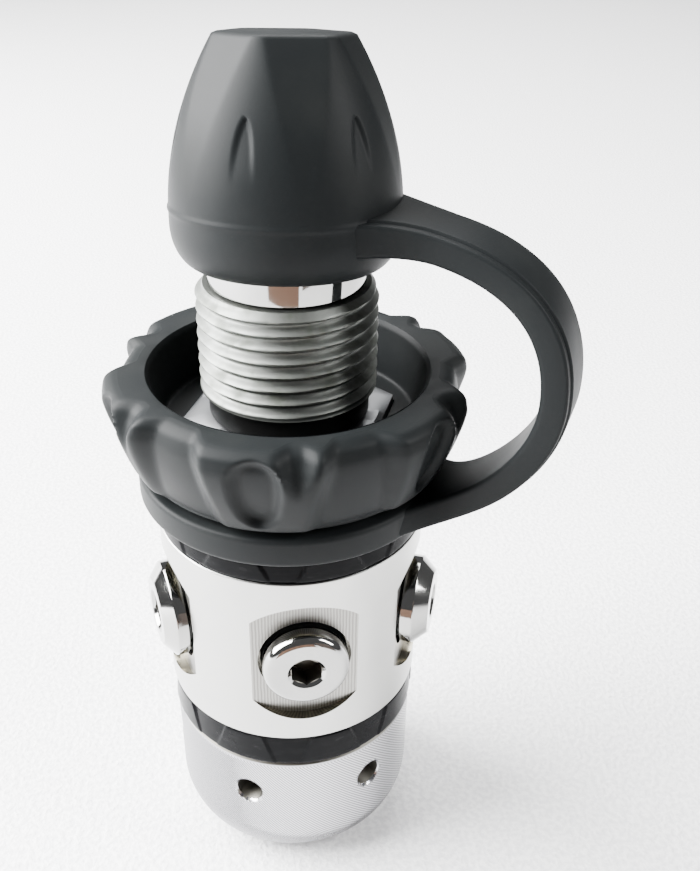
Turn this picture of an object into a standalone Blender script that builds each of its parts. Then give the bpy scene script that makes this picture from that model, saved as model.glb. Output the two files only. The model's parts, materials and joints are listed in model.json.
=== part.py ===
"""A DIN scuba regulator first stage, standing on its end cap, with its tethered dust cap.

The origin is the centre of the end cap's flat base. +Z runs up the body to the inlet, and the
front port faces -Y. Azimuths are measured from -Y towards +X, in degrees.
"""

import math

import bpy
from mathutils import Matrix

MM = 0.001
GAP = 0.25 * MM
WELD = 0.01 * MM

LARGE = 40
MEDIUM = 28
SMALL = 18

# End cap, which the object stands on.
END_CAP_R = 18.1 * MM
END_CAP_H = 23.0 * MM
END_CAP_FILLET = 8.0 * MM
END_CAP_FLOOR = 4.0 * MM
PISTON_BORE_R = 13.6 * MM
SPIGOT_BORE_R = 15.0 * MM
SPIGOT_BORE_Z = 18.4 * MM
AMBIENT_HOLE_R = 2.0 * MM
AMBIENT_HOLE_Z = 15.9 * MM
AMBIENT_HOLES = 6
AMBIENT_HOLE_AZ = 33.0

# Body: the barrel between its two trim bands, the neck above and the spigot below.
BODY_R = 18.43 * MM
BARREL_LOW = 28.5 * MM
BARREL_TOP = 56.1 * MM
BAND_SEAT_R = 16.0 * MM
LOWER_BAND_R = 18.35 * MM
NECK_R = 14.5 * MM
NECK_LOW = 60.15 * MM
NECK_TOP = 65.2 * MM
SPIGOT_R = 14.6 * MM
SPIGOT_LOW = 18.7 * MM
SPRING_BORE_R = 11.5 * MM
SPRING_BORE_TOP = 34.0 * MM
STEM_BORE_R = 4.2 * MM
STEM_GROOVE_R = 6.1 * MM
STEM_GROOVE_LOW = 35.6 * MM
STEM_GROOVE_TOP = 37.4 * MM
LP_CHAMBER_R = 9.0 * MM
LP_CHAMBER_LOW = 39.0 * MM
LP_CHAMBER_TOP = 47.5 * MM
ORIFICE_WEB_R = 5.0 * MM
ORIFICE_SEAT_R = 7.8 * MM
ORIFICE_SEAT_Z = 48.6 * MM
HP_CHAMBER_R = 8.5 * MM
HP_CHAMBER_LOW = 51.8 * MM
HP_CHAMBER_TOP = 53.7 * MM
INLET_R = 7.2 * MM
STEM_SEAL_R = 9.2 * MM
STEM_SEAL_Z = 63.4 * MM

# Ports round the barrel.
PORT_Z = 42.3 * MM
SPOT_FACE_R = 9.95 * MM
SPOT_FACE_AT = 16.97 * MM
LP_PORT_DEPTH = 8.0 * MM
HP_PORT_DEPTH = 10.2 * MM
SEAL_DEPTH = 1.5 * MM
HP_PASSAGE_R = 1.1 * MM

# DIN coupling, its handwheel and the stem through it.
WASHER_LOW = 65.5 * MM
WASHER_TOP = 67.2 * MM
HEX_LOW = 67.5 * MM
HEX_TOP = 71.8 * MM
HEX_ACROSS_FLATS = 25.0 * MM
HEX_TURN = 8.0
COUPLING_BORE_R = 7.4 * MM
RELIEF_R = 9.6 * MM
THREAD_R = 11.456 * MM
THREAD_LOW = 75.6 * MM
THREAD_TOP = 89.6 * MM
THREAD_CHAMFER = 1.0 * MM
STEM_R = 7.0 * MM
STEM_LOW = 54.0 * MM
NOSE_R = 9.85 * MM
NOSE_LOW = 89.9 * MM
NOSE_TOP = 95.0 * MM
NOSE_SOCKET = 6.0 * MM
FILTER_POCKET_R = 5.0 * MM
FILTER_POCKET_TOP = 61.2 * MM
FLOW_R = 2.0 * MM

GRIP_LOW = 65.6 * MM
GRIP_TOP = 78.1 * MM
GRIP_FLOOR = 70.3 * MM
GRIP_UNITS = 6
GRIP_NOTCH_AZ = -5.5
GRIP_RECESS = 2.4 * MM
GRIP_NOTCH = 1.8 * MM

# Tether and dust cap.
RING_IN_R = 14.8 * MM
RING_R = 20.5 * MM
RING_LOW = 60.4 * MM
RING_TOP = 64.5 * MM
STRAP_AZ = 60.7
STRAP_WIDTH = 9.0 * MM
STRAP_THICK = 3.6 * MM
STRAP_STEPS = 14
CAP_PIVOT_Z = 92.0 * MM
CAP_TILT = 6.46
CAP_TILT_AZ = 171.1
CAP_BEAD = 6.74 * MM
CAP_R = 14.03 * MM
CAP_TOP = 19.2 * MM
CAP_LIP = 7.0 * MM
CAP_LIP_R = 10.6 * MM
CAP_FLUTES = 6
CAP_FLUTE_AZ = -1.3
CAP_FLUTE_DEPTH = 1.3 * MM

# Piston and spring.
PISTON_R = 13.3 * MM
PISTON_LOW = 7.0 * MM
PISTON_HEAD_TOP = 12.5 * MM
PISTON_STEM_R = 3.9 * MM
PISTON_STEM_TOP = 44.8 * MM
SPRING_R = 8.2 * MM
SPRING_WIRE_R = 1.3 * MM
SPRING_LOW = 12.8 * MM
SPRING_TOP = 32.6 * MM
SPRING_TURNS = 5

# Each port plug: name, azimuth, thread, head and face radii, face distance, bevel, socket.
PLUGS = (
    ("front_low_pressure_plug", 0.5, 4.7 * MM, 6.2 * MM, 4.3 * MM, 20.0 * MM, 1.6 * MM, 4.0 * MM),
    ("right_low_pressure_plug", 68.7, 4.7 * MM, 6.5 * MM, 4.5 * MM, 20.95 * MM, 2.0 * MM, 4.0 * MM),
    ("rear_right_low_pressure_plug", 144.0, 4.7 * MM, 6.2 * MM, 4.3 * MM, 20.0 * MM, 1.6 * MM, 4.0 * MM),
    ("rear_left_low_pressure_plug", -144.0, 4.7 * MM, 6.2 * MM, 4.3 * MM, 20.0 * MM, 1.6 * MM, 4.0 * MM),
    ("left_high_pressure_plug", -75.5, 5.5 * MM, 7.0 * MM, 4.8 * MM, 20.4 * MM, 1.6 * MM, 5.0 * MM),
)
HP_THREAD_R = 5.5 * MM
PORT_CLEARANCE = 0.2 * MM

# Colour, roughness and metallic value of each finish.
FINISHES = {
    "pearl_chrome": ((0.72, 0.72, 0.71), 0.28, 1.0),
    "knurled_chrome": ((0.66, 0.66, 0.67), 0.33, 1.0),
    "polished_chrome": ((0.8, 0.8, 0.8), 0.08, 1.0),
    "thread_metal": ((0.42, 0.43, 0.41), 0.35, 1.0),
    "black_gloss": ((0.012, 0.012, 0.013), 0.12, 0.0),
    "black_rubber": ((0.028, 0.03, 0.031), 0.5, 0.0),
    "seal_rubber": ((0.01, 0.01, 0.01), 0.45, 0.0),
    "steel": ((0.5, 0.5, 0.52), 0.3, 1.0),
    "brass": ((0.62, 0.47, 0.2), 0.3, 1.0),
    "seat_plastic": ((0.75, 0.74, 0.7), 0.5, 0.0),
}


def clear_scene():
    for obj in list(bpy.data.objects):
        bpy.data.objects.remove(obj)


def make_collection(name):
    collection = bpy.data.collections.new(name)
    bpy.context.scene.collection.children.link(collection)
    return collection


def make_material(name, colour, roughness, metallic):
    material = bpy.data.materials.new(name)
    material.use_nodes = True
    shader = material.node_tree.nodes["Principled BSDF"]
    shader.inputs["Base Color"].default_value = (*colour, 1.0)
    shader.inputs["Roughness"].default_value = roughness
    shader.inputs["Metallic"].default_value = metallic
    return material


clear_scene()
PARTS = make_collection("din_first_stage")
CUTTERS = make_collection("cutters")
MATERIALS = {name: make_material(name, *finish) for name, finish in FINISHES.items()}


def add_part(name, data, finish):
    obj = bpy.data.objects.new(name, data)
    PARTS.objects.link(obj)
    data.materials.append(MATERIALS[finish])
    return obj


def add_cutter(name, data):
    obj = bpy.data.objects.new(name, data)
    CUTTERS.objects.link(obj)
    obj.hide_render = True
    obj.display_type = "WIRE"
    return obj


def profile_mesh(name, profile):
    """A profile of (radius, height) points, closed unless both its ends lie on the axis."""
    on_axis = profile[0][0] == 0 and profile[-1][0] == 0
    last = len(profile) - 1
    edges = [(i, i + 1) for i in range(last)]
    if not on_axis:
        edges.append((last, 0))
    mesh = bpy.data.meshes.new(name)
    mesh.from_pydata([(radius, 0, height) for radius, height in profile], edges, [])
    return mesh


def add_screw(obj, steps):
    screw = obj.modifiers.new("Turn", "SCREW")
    screw.steps = steps
    screw.render_steps = steps
    screw.use_merge_vertices = True
    screw.merge_threshold = WELD
    screw.use_smooth_shade = True


def turned(name, profile, finish, steps=LARGE):
    obj = add_part(name, profile_mesh(name, profile), finish)
    add_screw(obj, steps)
    return obj


def turned_cutter(name, profile, steps=SMALL):
    obj = add_cutter(name, profile_mesh(name, profile))
    add_screw(obj, steps)
    return obj


def hex_cutter(name, across_flats, low, high, turn=0.0):
    radius = across_flats / 2 / math.cos(math.pi / 6)
    bpy.ops.mesh.primitive_cylinder_add(
        vertices=6,
        radius=radius,
        depth=high - low,
        location=(0, 0, (low + high) / 2),
        rotation=(0, 0, math.pi / 2 + math.radians(turn)),
    )
    made = bpy.context.object
    mesh = made.data
    mesh.transform(made.matrix_world)
    bpy.data.objects.remove(made)
    return add_cutter(name, mesh)


def rod_cutter(name, start, end, radius):
    """A round rod between two points of the plane X = 0, as (distance from the axis, height)."""
    run = (end[0] - start[0], end[1] - start[1])
    length = math.hypot(*run)
    rod = turned_cutter(name, [(0, length), (radius, length), (radius, 0), (0, 0)], 16)
    rod.location = (0, -start[0], start[1])
    rod.rotation_euler = (math.atan2(run[0], run[1]), 0, 0)
    return rod


def cut(obj, cutter, operation="DIFFERENCE"):
    boolean = obj.modifiers.new(cutter.name, "BOOLEAN")
    boolean.object = cutter
    boolean.operation = operation


def face_out(obj, azimuth, height):
    """Turns an object's own +Z outwards at this azimuth, with its origin on the body's axis."""
    obj.location = (0, 0, height)
    obj.rotation_euler = (math.pi / 2, 0, math.radians(azimuth))


def turn_about_axis(obj, azimuth):
    obj.matrix_world = Matrix.Rotation(math.radians(azimuth), 4, "Z") @ obj.matrix_basis


def o_ring(name, radius, wire, height, finish="seal_rubber", steps=SMALL):
    bpy.ops.mesh.primitive_torus_add(
        major_segments=steps,
        minor_segments=6,
        major_radius=radius,
        minor_radius=wire,
        location=(0, 0, height),
    )
    made = bpy.context.object
    mesh = made.data
    mesh.transform(made.matrix_world)
    mesh.shade_smooth()
    bpy.data.objects.remove(made)
    return add_part(name, mesh, finish)


def arc(centre_r, centre_z, radius, first, last, steps):
    """Points of a fillet, with angles in degrees from the outward radius towards +Z."""
    angles = [math.radians(first + (last - first) * i / steps) for i in range(steps + 1)]
    return [(centre_r + radius * math.cos(a), centre_z + radius * math.sin(a)) for a in angles]


def smooth_step(value, low, high):
    share = min(max((value - low) / (high - low), 0.0), 1.0)
    return share * share * (3 - 2 * share)


def apply_modifiers(obj):
    bpy.context.view_layer.update()
    evaluated = obj.evaluated_get(bpy.context.evaluated_depsgraph_get())
    mesh = bpy.data.meshes.new_from_object(evaluated)
    obj.modifiers.clear()
    obj.data = mesh
    return mesh


def make_end_cap():
    outer = [(SPIGOT_BORE_R, END_CAP_H), (END_CAP_R, END_CAP_H)]
    outer += arc(END_CAP_R - END_CAP_FILLET, END_CAP_FILLET, END_CAP_FILLET, 0, -90, 6)
    inner = [
        (0, END_CAP_FLOOR),
        (PISTON_BORE_R, END_CAP_FLOOR),
        (PISTON_BORE_R, SPIGOT_BORE_Z),
        (SPIGOT_BORE_R, SPIGOT_BORE_Z),
    ]
    end_cap = turned("end_cap", inner + outer + [(0, 0)], "knurled_chrome")
    for index in range(AMBIENT_HOLES):
        depth = [(0, 22 * MM), (AMBIENT_HOLE_R, 22 * MM), (AMBIENT_HOLE_R, 12 * MM), (0, 12 * MM)]
        hole = turned_cutter(f"ambient_hole_{index + 1}", depth, 12)
        face_out(hole, AMBIENT_HOLE_AZ + 60 * index, AMBIENT_HOLE_Z)
        cut(end_cap, hole)


def body_profile():
    outer = [
        (NECK_R, NECK_TOP),
        (NECK_R, NECK_LOW),
        (BAND_SEAT_R, NECK_LOW),
        (BAND_SEAT_R, BARREL_TOP),
        (BODY_R, BARREL_TOP),
        (BODY_R, BARREL_LOW),
        (BAND_SEAT_R, BARREL_LOW),
        (BAND_SEAT_R, END_CAP_H + GAP),
        (SPIGOT_R, END_CAP_H + GAP),
        (SPIGOT_R, SPIGOT_LOW),
    ]
    low_side = [
        (SPRING_BORE_R, SPIGOT_LOW),
        (SPRING_BORE_R, SPRING_BORE_TOP),
        (STEM_BORE_R, SPRING_BORE_TOP),
        (STEM_BORE_R, STEM_GROOVE_LOW),
        (STEM_GROOVE_R, STEM_GROOVE_LOW),
        (STEM_GROOVE_R, STEM_GROOVE_TOP),
        (STEM_BORE_R, STEM_GROOVE_TOP),
        (STEM_BORE_R, LP_CHAMBER_LOW),
        (LP_CHAMBER_R, LP_CHAMBER_LOW),
        (LP_CHAMBER_R, LP_CHAMBER_TOP),
    ]
    high_side = [
        (ORIFICE_WEB_R, LP_CHAMBER_TOP),
        (ORIFICE_WEB_R, ORIFICE_SEAT_Z),
        (ORIFICE_SEAT_R, ORIFICE_SEAT_Z),
        (ORIFICE_SEAT_R, HP_CHAMBER_LOW),
        (HP_CHAMBER_R, HP_CHAMBER_LOW),
        (HP_CHAMBER_R, HP_CHAMBER_TOP),
        (INLET_R, HP_CHAMBER_TOP),
        (INLET_R, STEM_SEAL_Z),
        (STEM_SEAL_R, STEM_SEAL_Z),
        (STEM_SEAL_R, NECK_TOP),
    ]
    return outer + low_side + high_side


def port_cutter(name, azimuth, thread_r, head_r, depth):
    """A spot face, the seal's counterbore and the port's bore, as one turned tool."""
    tool_top = BODY_R + 4 * MM
    seal_floor = SPOT_FACE_AT - SEAL_DEPTH
    seal_r = head_r - 0.15 * MM
    bore_r = thread_r + PORT_CLEARANCE
    tool = [
        (0, tool_top),
        (SPOT_FACE_R, tool_top),
        (SPOT_FACE_R, SPOT_FACE_AT),
        (seal_r, SPOT_FACE_AT),
        (seal_r, seal_floor),
        (bore_r, seal_floor),
        (bore_r, depth),
        (0, depth),
    ]
    cutter = turned_cutter(f"{name}_port", tool)
    face_out(cutter, azimuth, PORT_Z)
    return cutter


def make_body():
    body = turned("body", body_profile(), "pearl_chrome")
    for name, azimuth, thread_r, head_r, *_ in PLUGS:
        high_pressure = thread_r == HP_THREAD_R
        depth = HP_PORT_DEPTH if high_pressure else LP_PORT_DEPTH
        cut(body, port_cutter(name, azimuth, thread_r, head_r, depth))
        if high_pressure:
            start, end = (13 * MM, 47 * MM), (7.6 * MM, 53.1 * MM)
            passage = rod_cutter("high_pressure_passage", start, end, HP_PASSAGE_R)
            turn_about_axis(passage, azimuth)
            cut(body, passage)


def make_trim_bands():
    bands = (
        ("lower_trim_band", END_CAP_H + GAP, BARREL_LOW - GAP, LOWER_BAND_R),
        ("upper_trim_band", BARREL_TOP + GAP, NECK_LOW - GAP, BODY_R),
    )
    for name, low, top, radius in bands:
        inner_r = BAND_SEAT_R + GAP
        edge = 0.3 * MM
        profile = [
            (inner_r, top),
            (radius - edge, top),
            (radius, top - edge),
            (radius, low + edge),
            (radius - edge, low),
            (inner_r, low),
        ]
        turned(name, profile, "black_gloss")


def make_piston():
    hollow_r = 1.5 * MM
    groove_r = 11.5 * MM
    groove_low = 9.0 * MM
    groove_top = 11.2 * MM
    seat_r = 2.6 * MM
    seat_z = 42.8 * MM
    profile = [
        (seat_r, PISTON_STEM_TOP),
        (PISTON_STEM_R, PISTON_STEM_TOP),
        (PISTON_STEM_R, PISTON_HEAD_TOP),
        (PISTON_R, PISTON_HEAD_TOP),
        (PISTON_R, groove_top),
        (groove_r, groove_top),
        (groove_r, groove_low),
        (PISTON_R, groove_low),
        (PISTON_R, PISTON_LOW),
        (hollow_r, PISTON_LOW),
        (hollow_r, seat_z),
        (seat_r, seat_z),
    ]
    piston = turned("piston", profile, "brass", MEDIUM)
    cross_hole = rod_cutter("piston_cross_hole", (-6 * MM, 41 * MM), (6 * MM, 41 * MM), 0.8 * MM)
    cut(piston, cross_hole)
    seat_top = 45.2 * MM
    seat = [(0, seat_top), (2.4 * MM, seat_top), (2.4 * MM, seat_z + GAP), (0, seat_z + GAP)]
    turned("high_pressure_seat", seat, "seat_plastic", SMALL)
    o_ring("piston_head_oring", 12.55 * MM, 0.8 * MM, 10.1 * MM, steps=MEDIUM)
    o_ring("piston_stem_oring", 5.05 * MM, 0.7 * MM, 36.5 * MM)


def make_spring():
    steps_per_turn = 14
    low = SPRING_LOW + SPRING_WIRE_R
    rise = SPRING_TOP - SPRING_LOW - 2 * SPRING_WIRE_R
    count = SPRING_TURNS * steps_per_turn
    curve = bpy.data.curves.new("main_spring", "CURVE")
    curve.dimensions = "3D"
    curve.bevel_depth = SPRING_WIRE_R
    curve.bevel_resolution = 1
    curve.use_fill_caps = True
    spline = curve.splines.new("POLY")
    spline.points.add(count)
    for index, point in enumerate(spline.points):
        angle = 2 * math.pi * index / steps_per_turn
        height = low + rise * index / count
        point.co = (SPRING_R * math.cos(angle), SPRING_R * math.sin(angle), height, 1)
    add_part("main_spring", curve, "steel")
    washer = [
        (4.5 * MM, 33.7 * MM),
        (11.2 * MM, 33.7 * MM),
        (11.2 * MM, SPRING_TOP + GAP),
        (4.5 * MM, SPRING_TOP + GAP),
    ]
    turned("spring_washer", washer, "steel", MEDIUM)


def make_orifice():
    nozzle_z = 46.35 * MM
    shoulder_z = 47.3 * MM
    head_low = ORIFICE_SEAT_Z + GAP
    head_top = HP_CHAMBER_LOW - 0.3 * MM
    groove_r = 6.2 * MM
    profile = [
        (1.1 * MM, head_top),
        (7.5 * MM, head_top),
        (7.5 * MM, 51.0 * MM),
        (groove_r, 51.0 * MM),
        (groove_r, 49.5 * MM),
        (7.5 * MM, 49.5 * MM),
        (7.5 * MM, head_low),
        (4.7 * MM, head_low),
        (4.7 * MM, shoulder_z),
        (2.6 * MM, shoulder_z),
        (1.6 * MM, nozzle_z),
        (1.1 * MM, nozzle_z),
    ]
    turned("orifice", profile, "steel", SMALL)
    o_ring("orifice_oring", 6.95 * MM, 0.6 * MM, 50.25 * MM)


def make_din_stem():
    edge = 0.4 * MM
    groove_in = 4.6 * MM
    groove_out = 7.4 * MM
    groove_floor = 93.2 * MM
    profile = [
        (NOSE_R - edge, NOSE_TOP),
        (NOSE_R, NOSE_TOP - edge),
        (NOSE_R, NOSE_LOW),
        (STEM_R, NOSE_LOW),
        (STEM_R, STEM_LOW),
        (FILTER_POCKET_R, STEM_LOW),
        (FILTER_POCKET_R, FILTER_POCKET_TOP),
        (FLOW_R, FILTER_POCKET_TOP + 1.4 * MM),
        (FLOW_R, NOSE_TOP),
        (groove_in, NOSE_TOP),
        (groove_in, groove_floor),
        (groove_out, groove_floor),
        (groove_out, NOSE_TOP),
    ]
    stem = turned("din_stem", profile, "polished_chrome", MEDIUM)
    cut(stem, hex_cutter("nose_socket", NOSE_SOCKET, 90.5 * MM, NOSE_TOP + 2 * MM))
    o_ring("din_face_oring", 6.0 * MM, 1.1 * MM, 94.45 * MM)
    o_ring("stem_base_oring", 8.1 * MM, 0.7 * MM, 64.3 * MM)
    inlet_filter = [
        (0, 60.8 * MM),
        (2.6 * MM, 60.8 * MM),
        (4.6 * MM, 56.6 * MM),
        (4.6 * MM, 55.2 * MM),
        (0, 55.2 * MM),
    ]
    turned("inlet_filter", inlet_filter, "brass", SMALL)
    clip = [
        (3.8 * MM, 54.9 * MM),
        (4.7 * MM, 54.9 * MM),
        (4.7 * MM, 54.35 * MM),
        (3.8 * MM, 54.35 * MM),
    ]
    turned("filter_clip", clip, "steel", SMALL)


def make_coupling():
    collar_top = 75.2 * MM
    profile = [
        (0, THREAD_TOP),
        (THREAD_R - THREAD_CHAMFER, THREAD_TOP),
        (THREAD_R, THREAD_TOP - THREAD_CHAMFER),
        (THREAD_R, THREAD_LOW),
        (RELIEF_R, collar_top + GAP),
        (RELIEF_R, HEX_LOW + 1 * MM),
        (0, HEX_LOW + 1 * MM),
    ]
    screw = turned("coupling_screw", profile, "thread_metal")
    cut(screw, hex_cutter("coupling_hexagon", HEX_ACROSS_FLATS, HEX_LOW, HEX_TOP, HEX_TURN), "UNION")
    bore = [
        (0, THREAD_TOP + 5 * MM),
        (COUPLING_BORE_R, THREAD_TOP + 5 * MM),
        (COUPLING_BORE_R, HEX_LOW - 5 * MM),
        (0, HEX_LOW - 5 * MM),
    ]
    cut(screw, turned_cutter("coupling_bore", bore, MEDIUM))
    collar = [
        (RELIEF_R + GAP, collar_top),
        (10.5 * MM, collar_top),
        (10.5 * MM, HEX_TOP + GAP),
        (RELIEF_R + GAP, HEX_TOP + GAP),
    ]
    turned("coupling_collar", collar, "black_rubber")
    washer = [
        (COUPLING_BORE_R, WASHER_TOP),
        (12.4 * MM, WASHER_TOP),
        (12.4 * MM, WASHER_LOW),
        (COUPLING_BORE_R, WASHER_LOW),
    ]
    turned("thrust_washer", washer, "seat_plastic", MEDIUM)


def grip_depth(azimuth, height):
    """How far the grip's outside is drawn in, from a lobe's crown, at this azimuth and height."""
    pitch = 360 / GRIP_UNITS
    offset = (azimuth - GRIP_NOTCH_AZ + pitch / 2) % pitch - pitch / 2
    rise = (height - GRIP_LOW) / (GRIP_TOP - GRIP_LOW)
    middle = 21.5
    reach = abs((offset - middle + pitch / 2) % pitch - pitch / 2)
    half = 13.5 - 4 * rise
    recess = GRIP_RECESS * (1 - smooth_step(reach, half - 4, half + 4)) * (0.35 + 0.65 * rise)
    notch = GRIP_NOTCH * (1 - smooth_step(abs(offset), 1, 7)) * smooth_step(rise, 0.35, 0.9)
    return recess + notch


def make_grip():
    outer = [
        (18.5 * MM, GRIP_TOP),
        (22.2 * MM, GRIP_TOP),
        (23.6 * MM, 77.0 * MM),
        (23.9 * MM, 75.3 * MM),
        (23.3 * MM, 72.5 * MM),
        (22.3 * MM, 69.5 * MM),
        (21.3 * MM, 67.0 * MM),
        (20.5 * MM, GRIP_LOW),
    ]
    inner = [
        (12.0 * MM, GRIP_LOW),
        (12.0 * MM, GRIP_FLOOR),
        (16.9 * MM, GRIP_FLOOR),
        (17.4 * MM, 71.2 * MM),
        (18.0 * MM, 77.5 * MM),
    ]
    grip = turned("handwheel_grip", outer + inner, "black_rubber", 12 * GRIP_UNITS)
    outside_r = 19.5 * MM
    for vertex in apply_modifiers(grip).vertices:
        point = vertex.co
        radius = math.hypot(point.x, point.y)
        if radius > outside_r:
            azimuth = math.degrees(math.atan2(point.x, -point.y))
            scale = (radius - grip_depth(azimuth, point.z)) / radius
            point.x *= scale
            point.y *= scale
    hole = HEX_ACROSS_FLATS + 2 * GAP
    low, high = GRIP_LOW - 1 * MM, GRIP_FLOOR + 1 * MM
    cut(grip, hex_cutter("grip_hexagon", hole, low, high, HEX_TURN))


def bezier(points, share):
    """A point of the cubic curve through the first and last of four points."""
    while len(points) > 1:
        pairs = zip(points, points[1:])
        points = [tuple(a + (b - a) * share for a, b in zip(*pair)) for pair in pairs]
    return points[0]


def strap_centreline():
    """The tether's middle as (distance from the axis, height), from the dust cap to the ring."""
    crown = (35.1 * MM, 81.3 * MM)
    upper = [(14.6 * MM, 98.4 * MM), (28.0 * MM, 98.4 * MM), (35.1 * MM, 91.8 * MM), crown]
    lower = [crown, (35.1 * MM, 72.8 * MM), (27.1 * MM, 64.4 * MM), (21.5 * MM, 62.6 * MM)]
    shares = [index / STRAP_STEPS for index in range(STRAP_STEPS + 1)]
    return [bezier(upper, s) for s in shares] + [bezier(lower, s) for s in shares[1:]]


def offset_line(line, distance):
    shifted = []
    last = len(line) - 1
    for index, point in enumerate(line):
        before = line[max(index - 1, 0)]
        after = line[min(index + 1, last)]
        run = (after[0] - before[0], after[1] - before[1])
        length = math.hypot(*run)
        shifted.append(
            (point[0] - distance * run[1] / length, point[1] + distance * run[0] / length)
        )
    return shifted


def make_strap():
    line = strap_centreline()
    half = STRAP_THICK / 2
    outline = offset_line(line, half) + offset_line(line, -half)[::-1]
    curve = bpy.data.curves.new("strap", "CURVE")
    curve.dimensions = "2D"
    curve.fill_mode = "BOTH"
    curve.extrude = STRAP_WIDTH / 2
    spline = curve.splines.new("POLY")
    spline.points.add(len(outline) - 1)
    spline.use_cyclic_u = True
    for point, (distance, height) in zip(spline.points, outline):
        point.co = (distance, height, 0, 1)
    strap = add_part("strap", curve, "black_rubber")
    strap.rotation_euler = (math.pi / 2, 0, math.radians(STRAP_AZ - 90))


def make_strap_ring():
    edge = 0.5 * MM
    profile = [
        (RING_IN_R, RING_TOP),
        (RING_R - edge, RING_TOP),
        (RING_R, RING_TOP - edge),
        (RING_R, RING_LOW + edge),
        (RING_R - edge, RING_LOW),
        (RING_IN_R, RING_LOW),
    ]
    turned("strap_ring", profile, "black_rubber")


def cap_radius(height):
    """The dust cap's outer radius at a height above its bead."""
    if height > 0:
        above = height / MM
        return CAP_R - (0.021 * above + 0.0148 * above * above) * MM
    straight = 1.8 * MM
    drop = max(-height - straight, 0.0) / (CAP_LIP - straight)
    return CAP_LIP_R + (CAP_R - CAP_LIP_R) * math.sqrt(1 - drop * drop)


def make_dust_cap():
    heights = [CAP_TOP * (1 - index / 8) for index in range(9)]
    heights += [-1.8 * MM, -3.4 * MM, -4.8 * MM, -5.8 * MM, -6.6 * MM]
    outer = [(0, CAP_TOP)] + [(cap_radius(height), height) for height in heights]
    inner = [
        (CAP_LIP_R, -CAP_LIP),
        (11.0 * MM, -5.0 * MM),
        (11.0 * MM, 4.0 * MM),
        (8.2 * MM, 13.0 * MM),
        (6.6 * MM, 14.6 * MM),
        (0, 14.6 * MM),
    ]
    profile = [(radius, height + CAP_BEAD) for radius, height in outer + inner]
    cap = turned("dust_cap", profile, "black_rubber", 8 * CAP_FLUTES)
    cap_from_bead = 3.0 * MM
    for vertex in apply_modifiers(cap).vertices:
        point = vertex.co
        height = point.z - CAP_BEAD
        radius = math.hypot(point.x, point.y)
        if height < cap_from_bead or radius < cap_radius(height) - 0.1 * MM:
            continue
        pitch = 360 / CAP_FLUTES
        azimuth = math.degrees(math.atan2(point.x, -point.y))
        offset = abs((azimuth - CAP_FLUTE_AZ + pitch / 2) % pitch - pitch / 2)
        share = smooth_step(height, cap_from_bead, CAP_TOP)
        depth = CAP_FLUTE_DEPTH * share * (1 - smooth_step(offset, 0, 14))
        point.x *= (radius - depth) / radius
        point.y *= (radius - depth) / radius
    lean = Matrix.Rotation(math.radians(CAP_TILT_AZ), 4, "Z")
    tilt = lean @ Matrix.Rotation(math.radians(CAP_TILT), 4, "X") @ lean.inverted()
    cap.matrix_world = Matrix.Translation((0, 0, CAP_PIVOT_Z)) @ tilt


def make_plugs():
    shank_end = 11.2 * MM
    socket_depth = 3.0 * MM
    for name, azimuth, thread_r, head_r, face_r, face_at, bevel, socket in PLUGS:
        under_head = SPOT_FACE_AT + GAP
        dome_r = (head_r + face_r) / 2
        profile = [
            (0, face_at),
            (face_r, face_at),
            (dome_r, face_at - 0.35 * bevel),
            (head_r, face_at - bevel),
            (head_r, under_head),
            (thread_r, under_head),
            (thread_r, shank_end),
            (0, shank_end),
        ]
        plug = turned(name, profile, "polished_chrome", SMALL)
        face_out(plug, azimuth, PORT_Z)
        cutter = hex_cutter(f"{name}_socket", socket, face_at - socket_depth, face_at + 2 * MM)
        face_out(cutter, azimuth, PORT_Z)
        cut(plug, cutter)
        wire = 0.55 * MM
        seal_at = SPOT_FACE_AT - 0.72 * MM
        seal = o_ring(f"{name}_oring", thread_r + 0.15 * MM + wire, wire, seal_at, steps=20)
        face_out(seal, azimuth, PORT_Z)


make_end_cap()
make_body()
make_trim_bands()
make_piston()
make_spring()
make_orifice()
make_din_stem()
make_coupling()
make_grip()
make_strap_ring()
make_strap()
make_dust_cap()
make_plugs()
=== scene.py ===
"""Looks of a DIN scuba regulator first stage, standing on its end cap, with its tethered dust cap.

Every piece is built in metres in the frame's own axes: +Z runs up the body and the front port faces
-Y. Azimuths are in degrees, measured from -Y towards +X.
"""

from __future__ import annotations

import json
import logging
import math
from dataclasses import dataclass
from enum import Enum
from typing import Callable, Sequence

import bpy
from mathutils import Matrix, Vector

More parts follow.
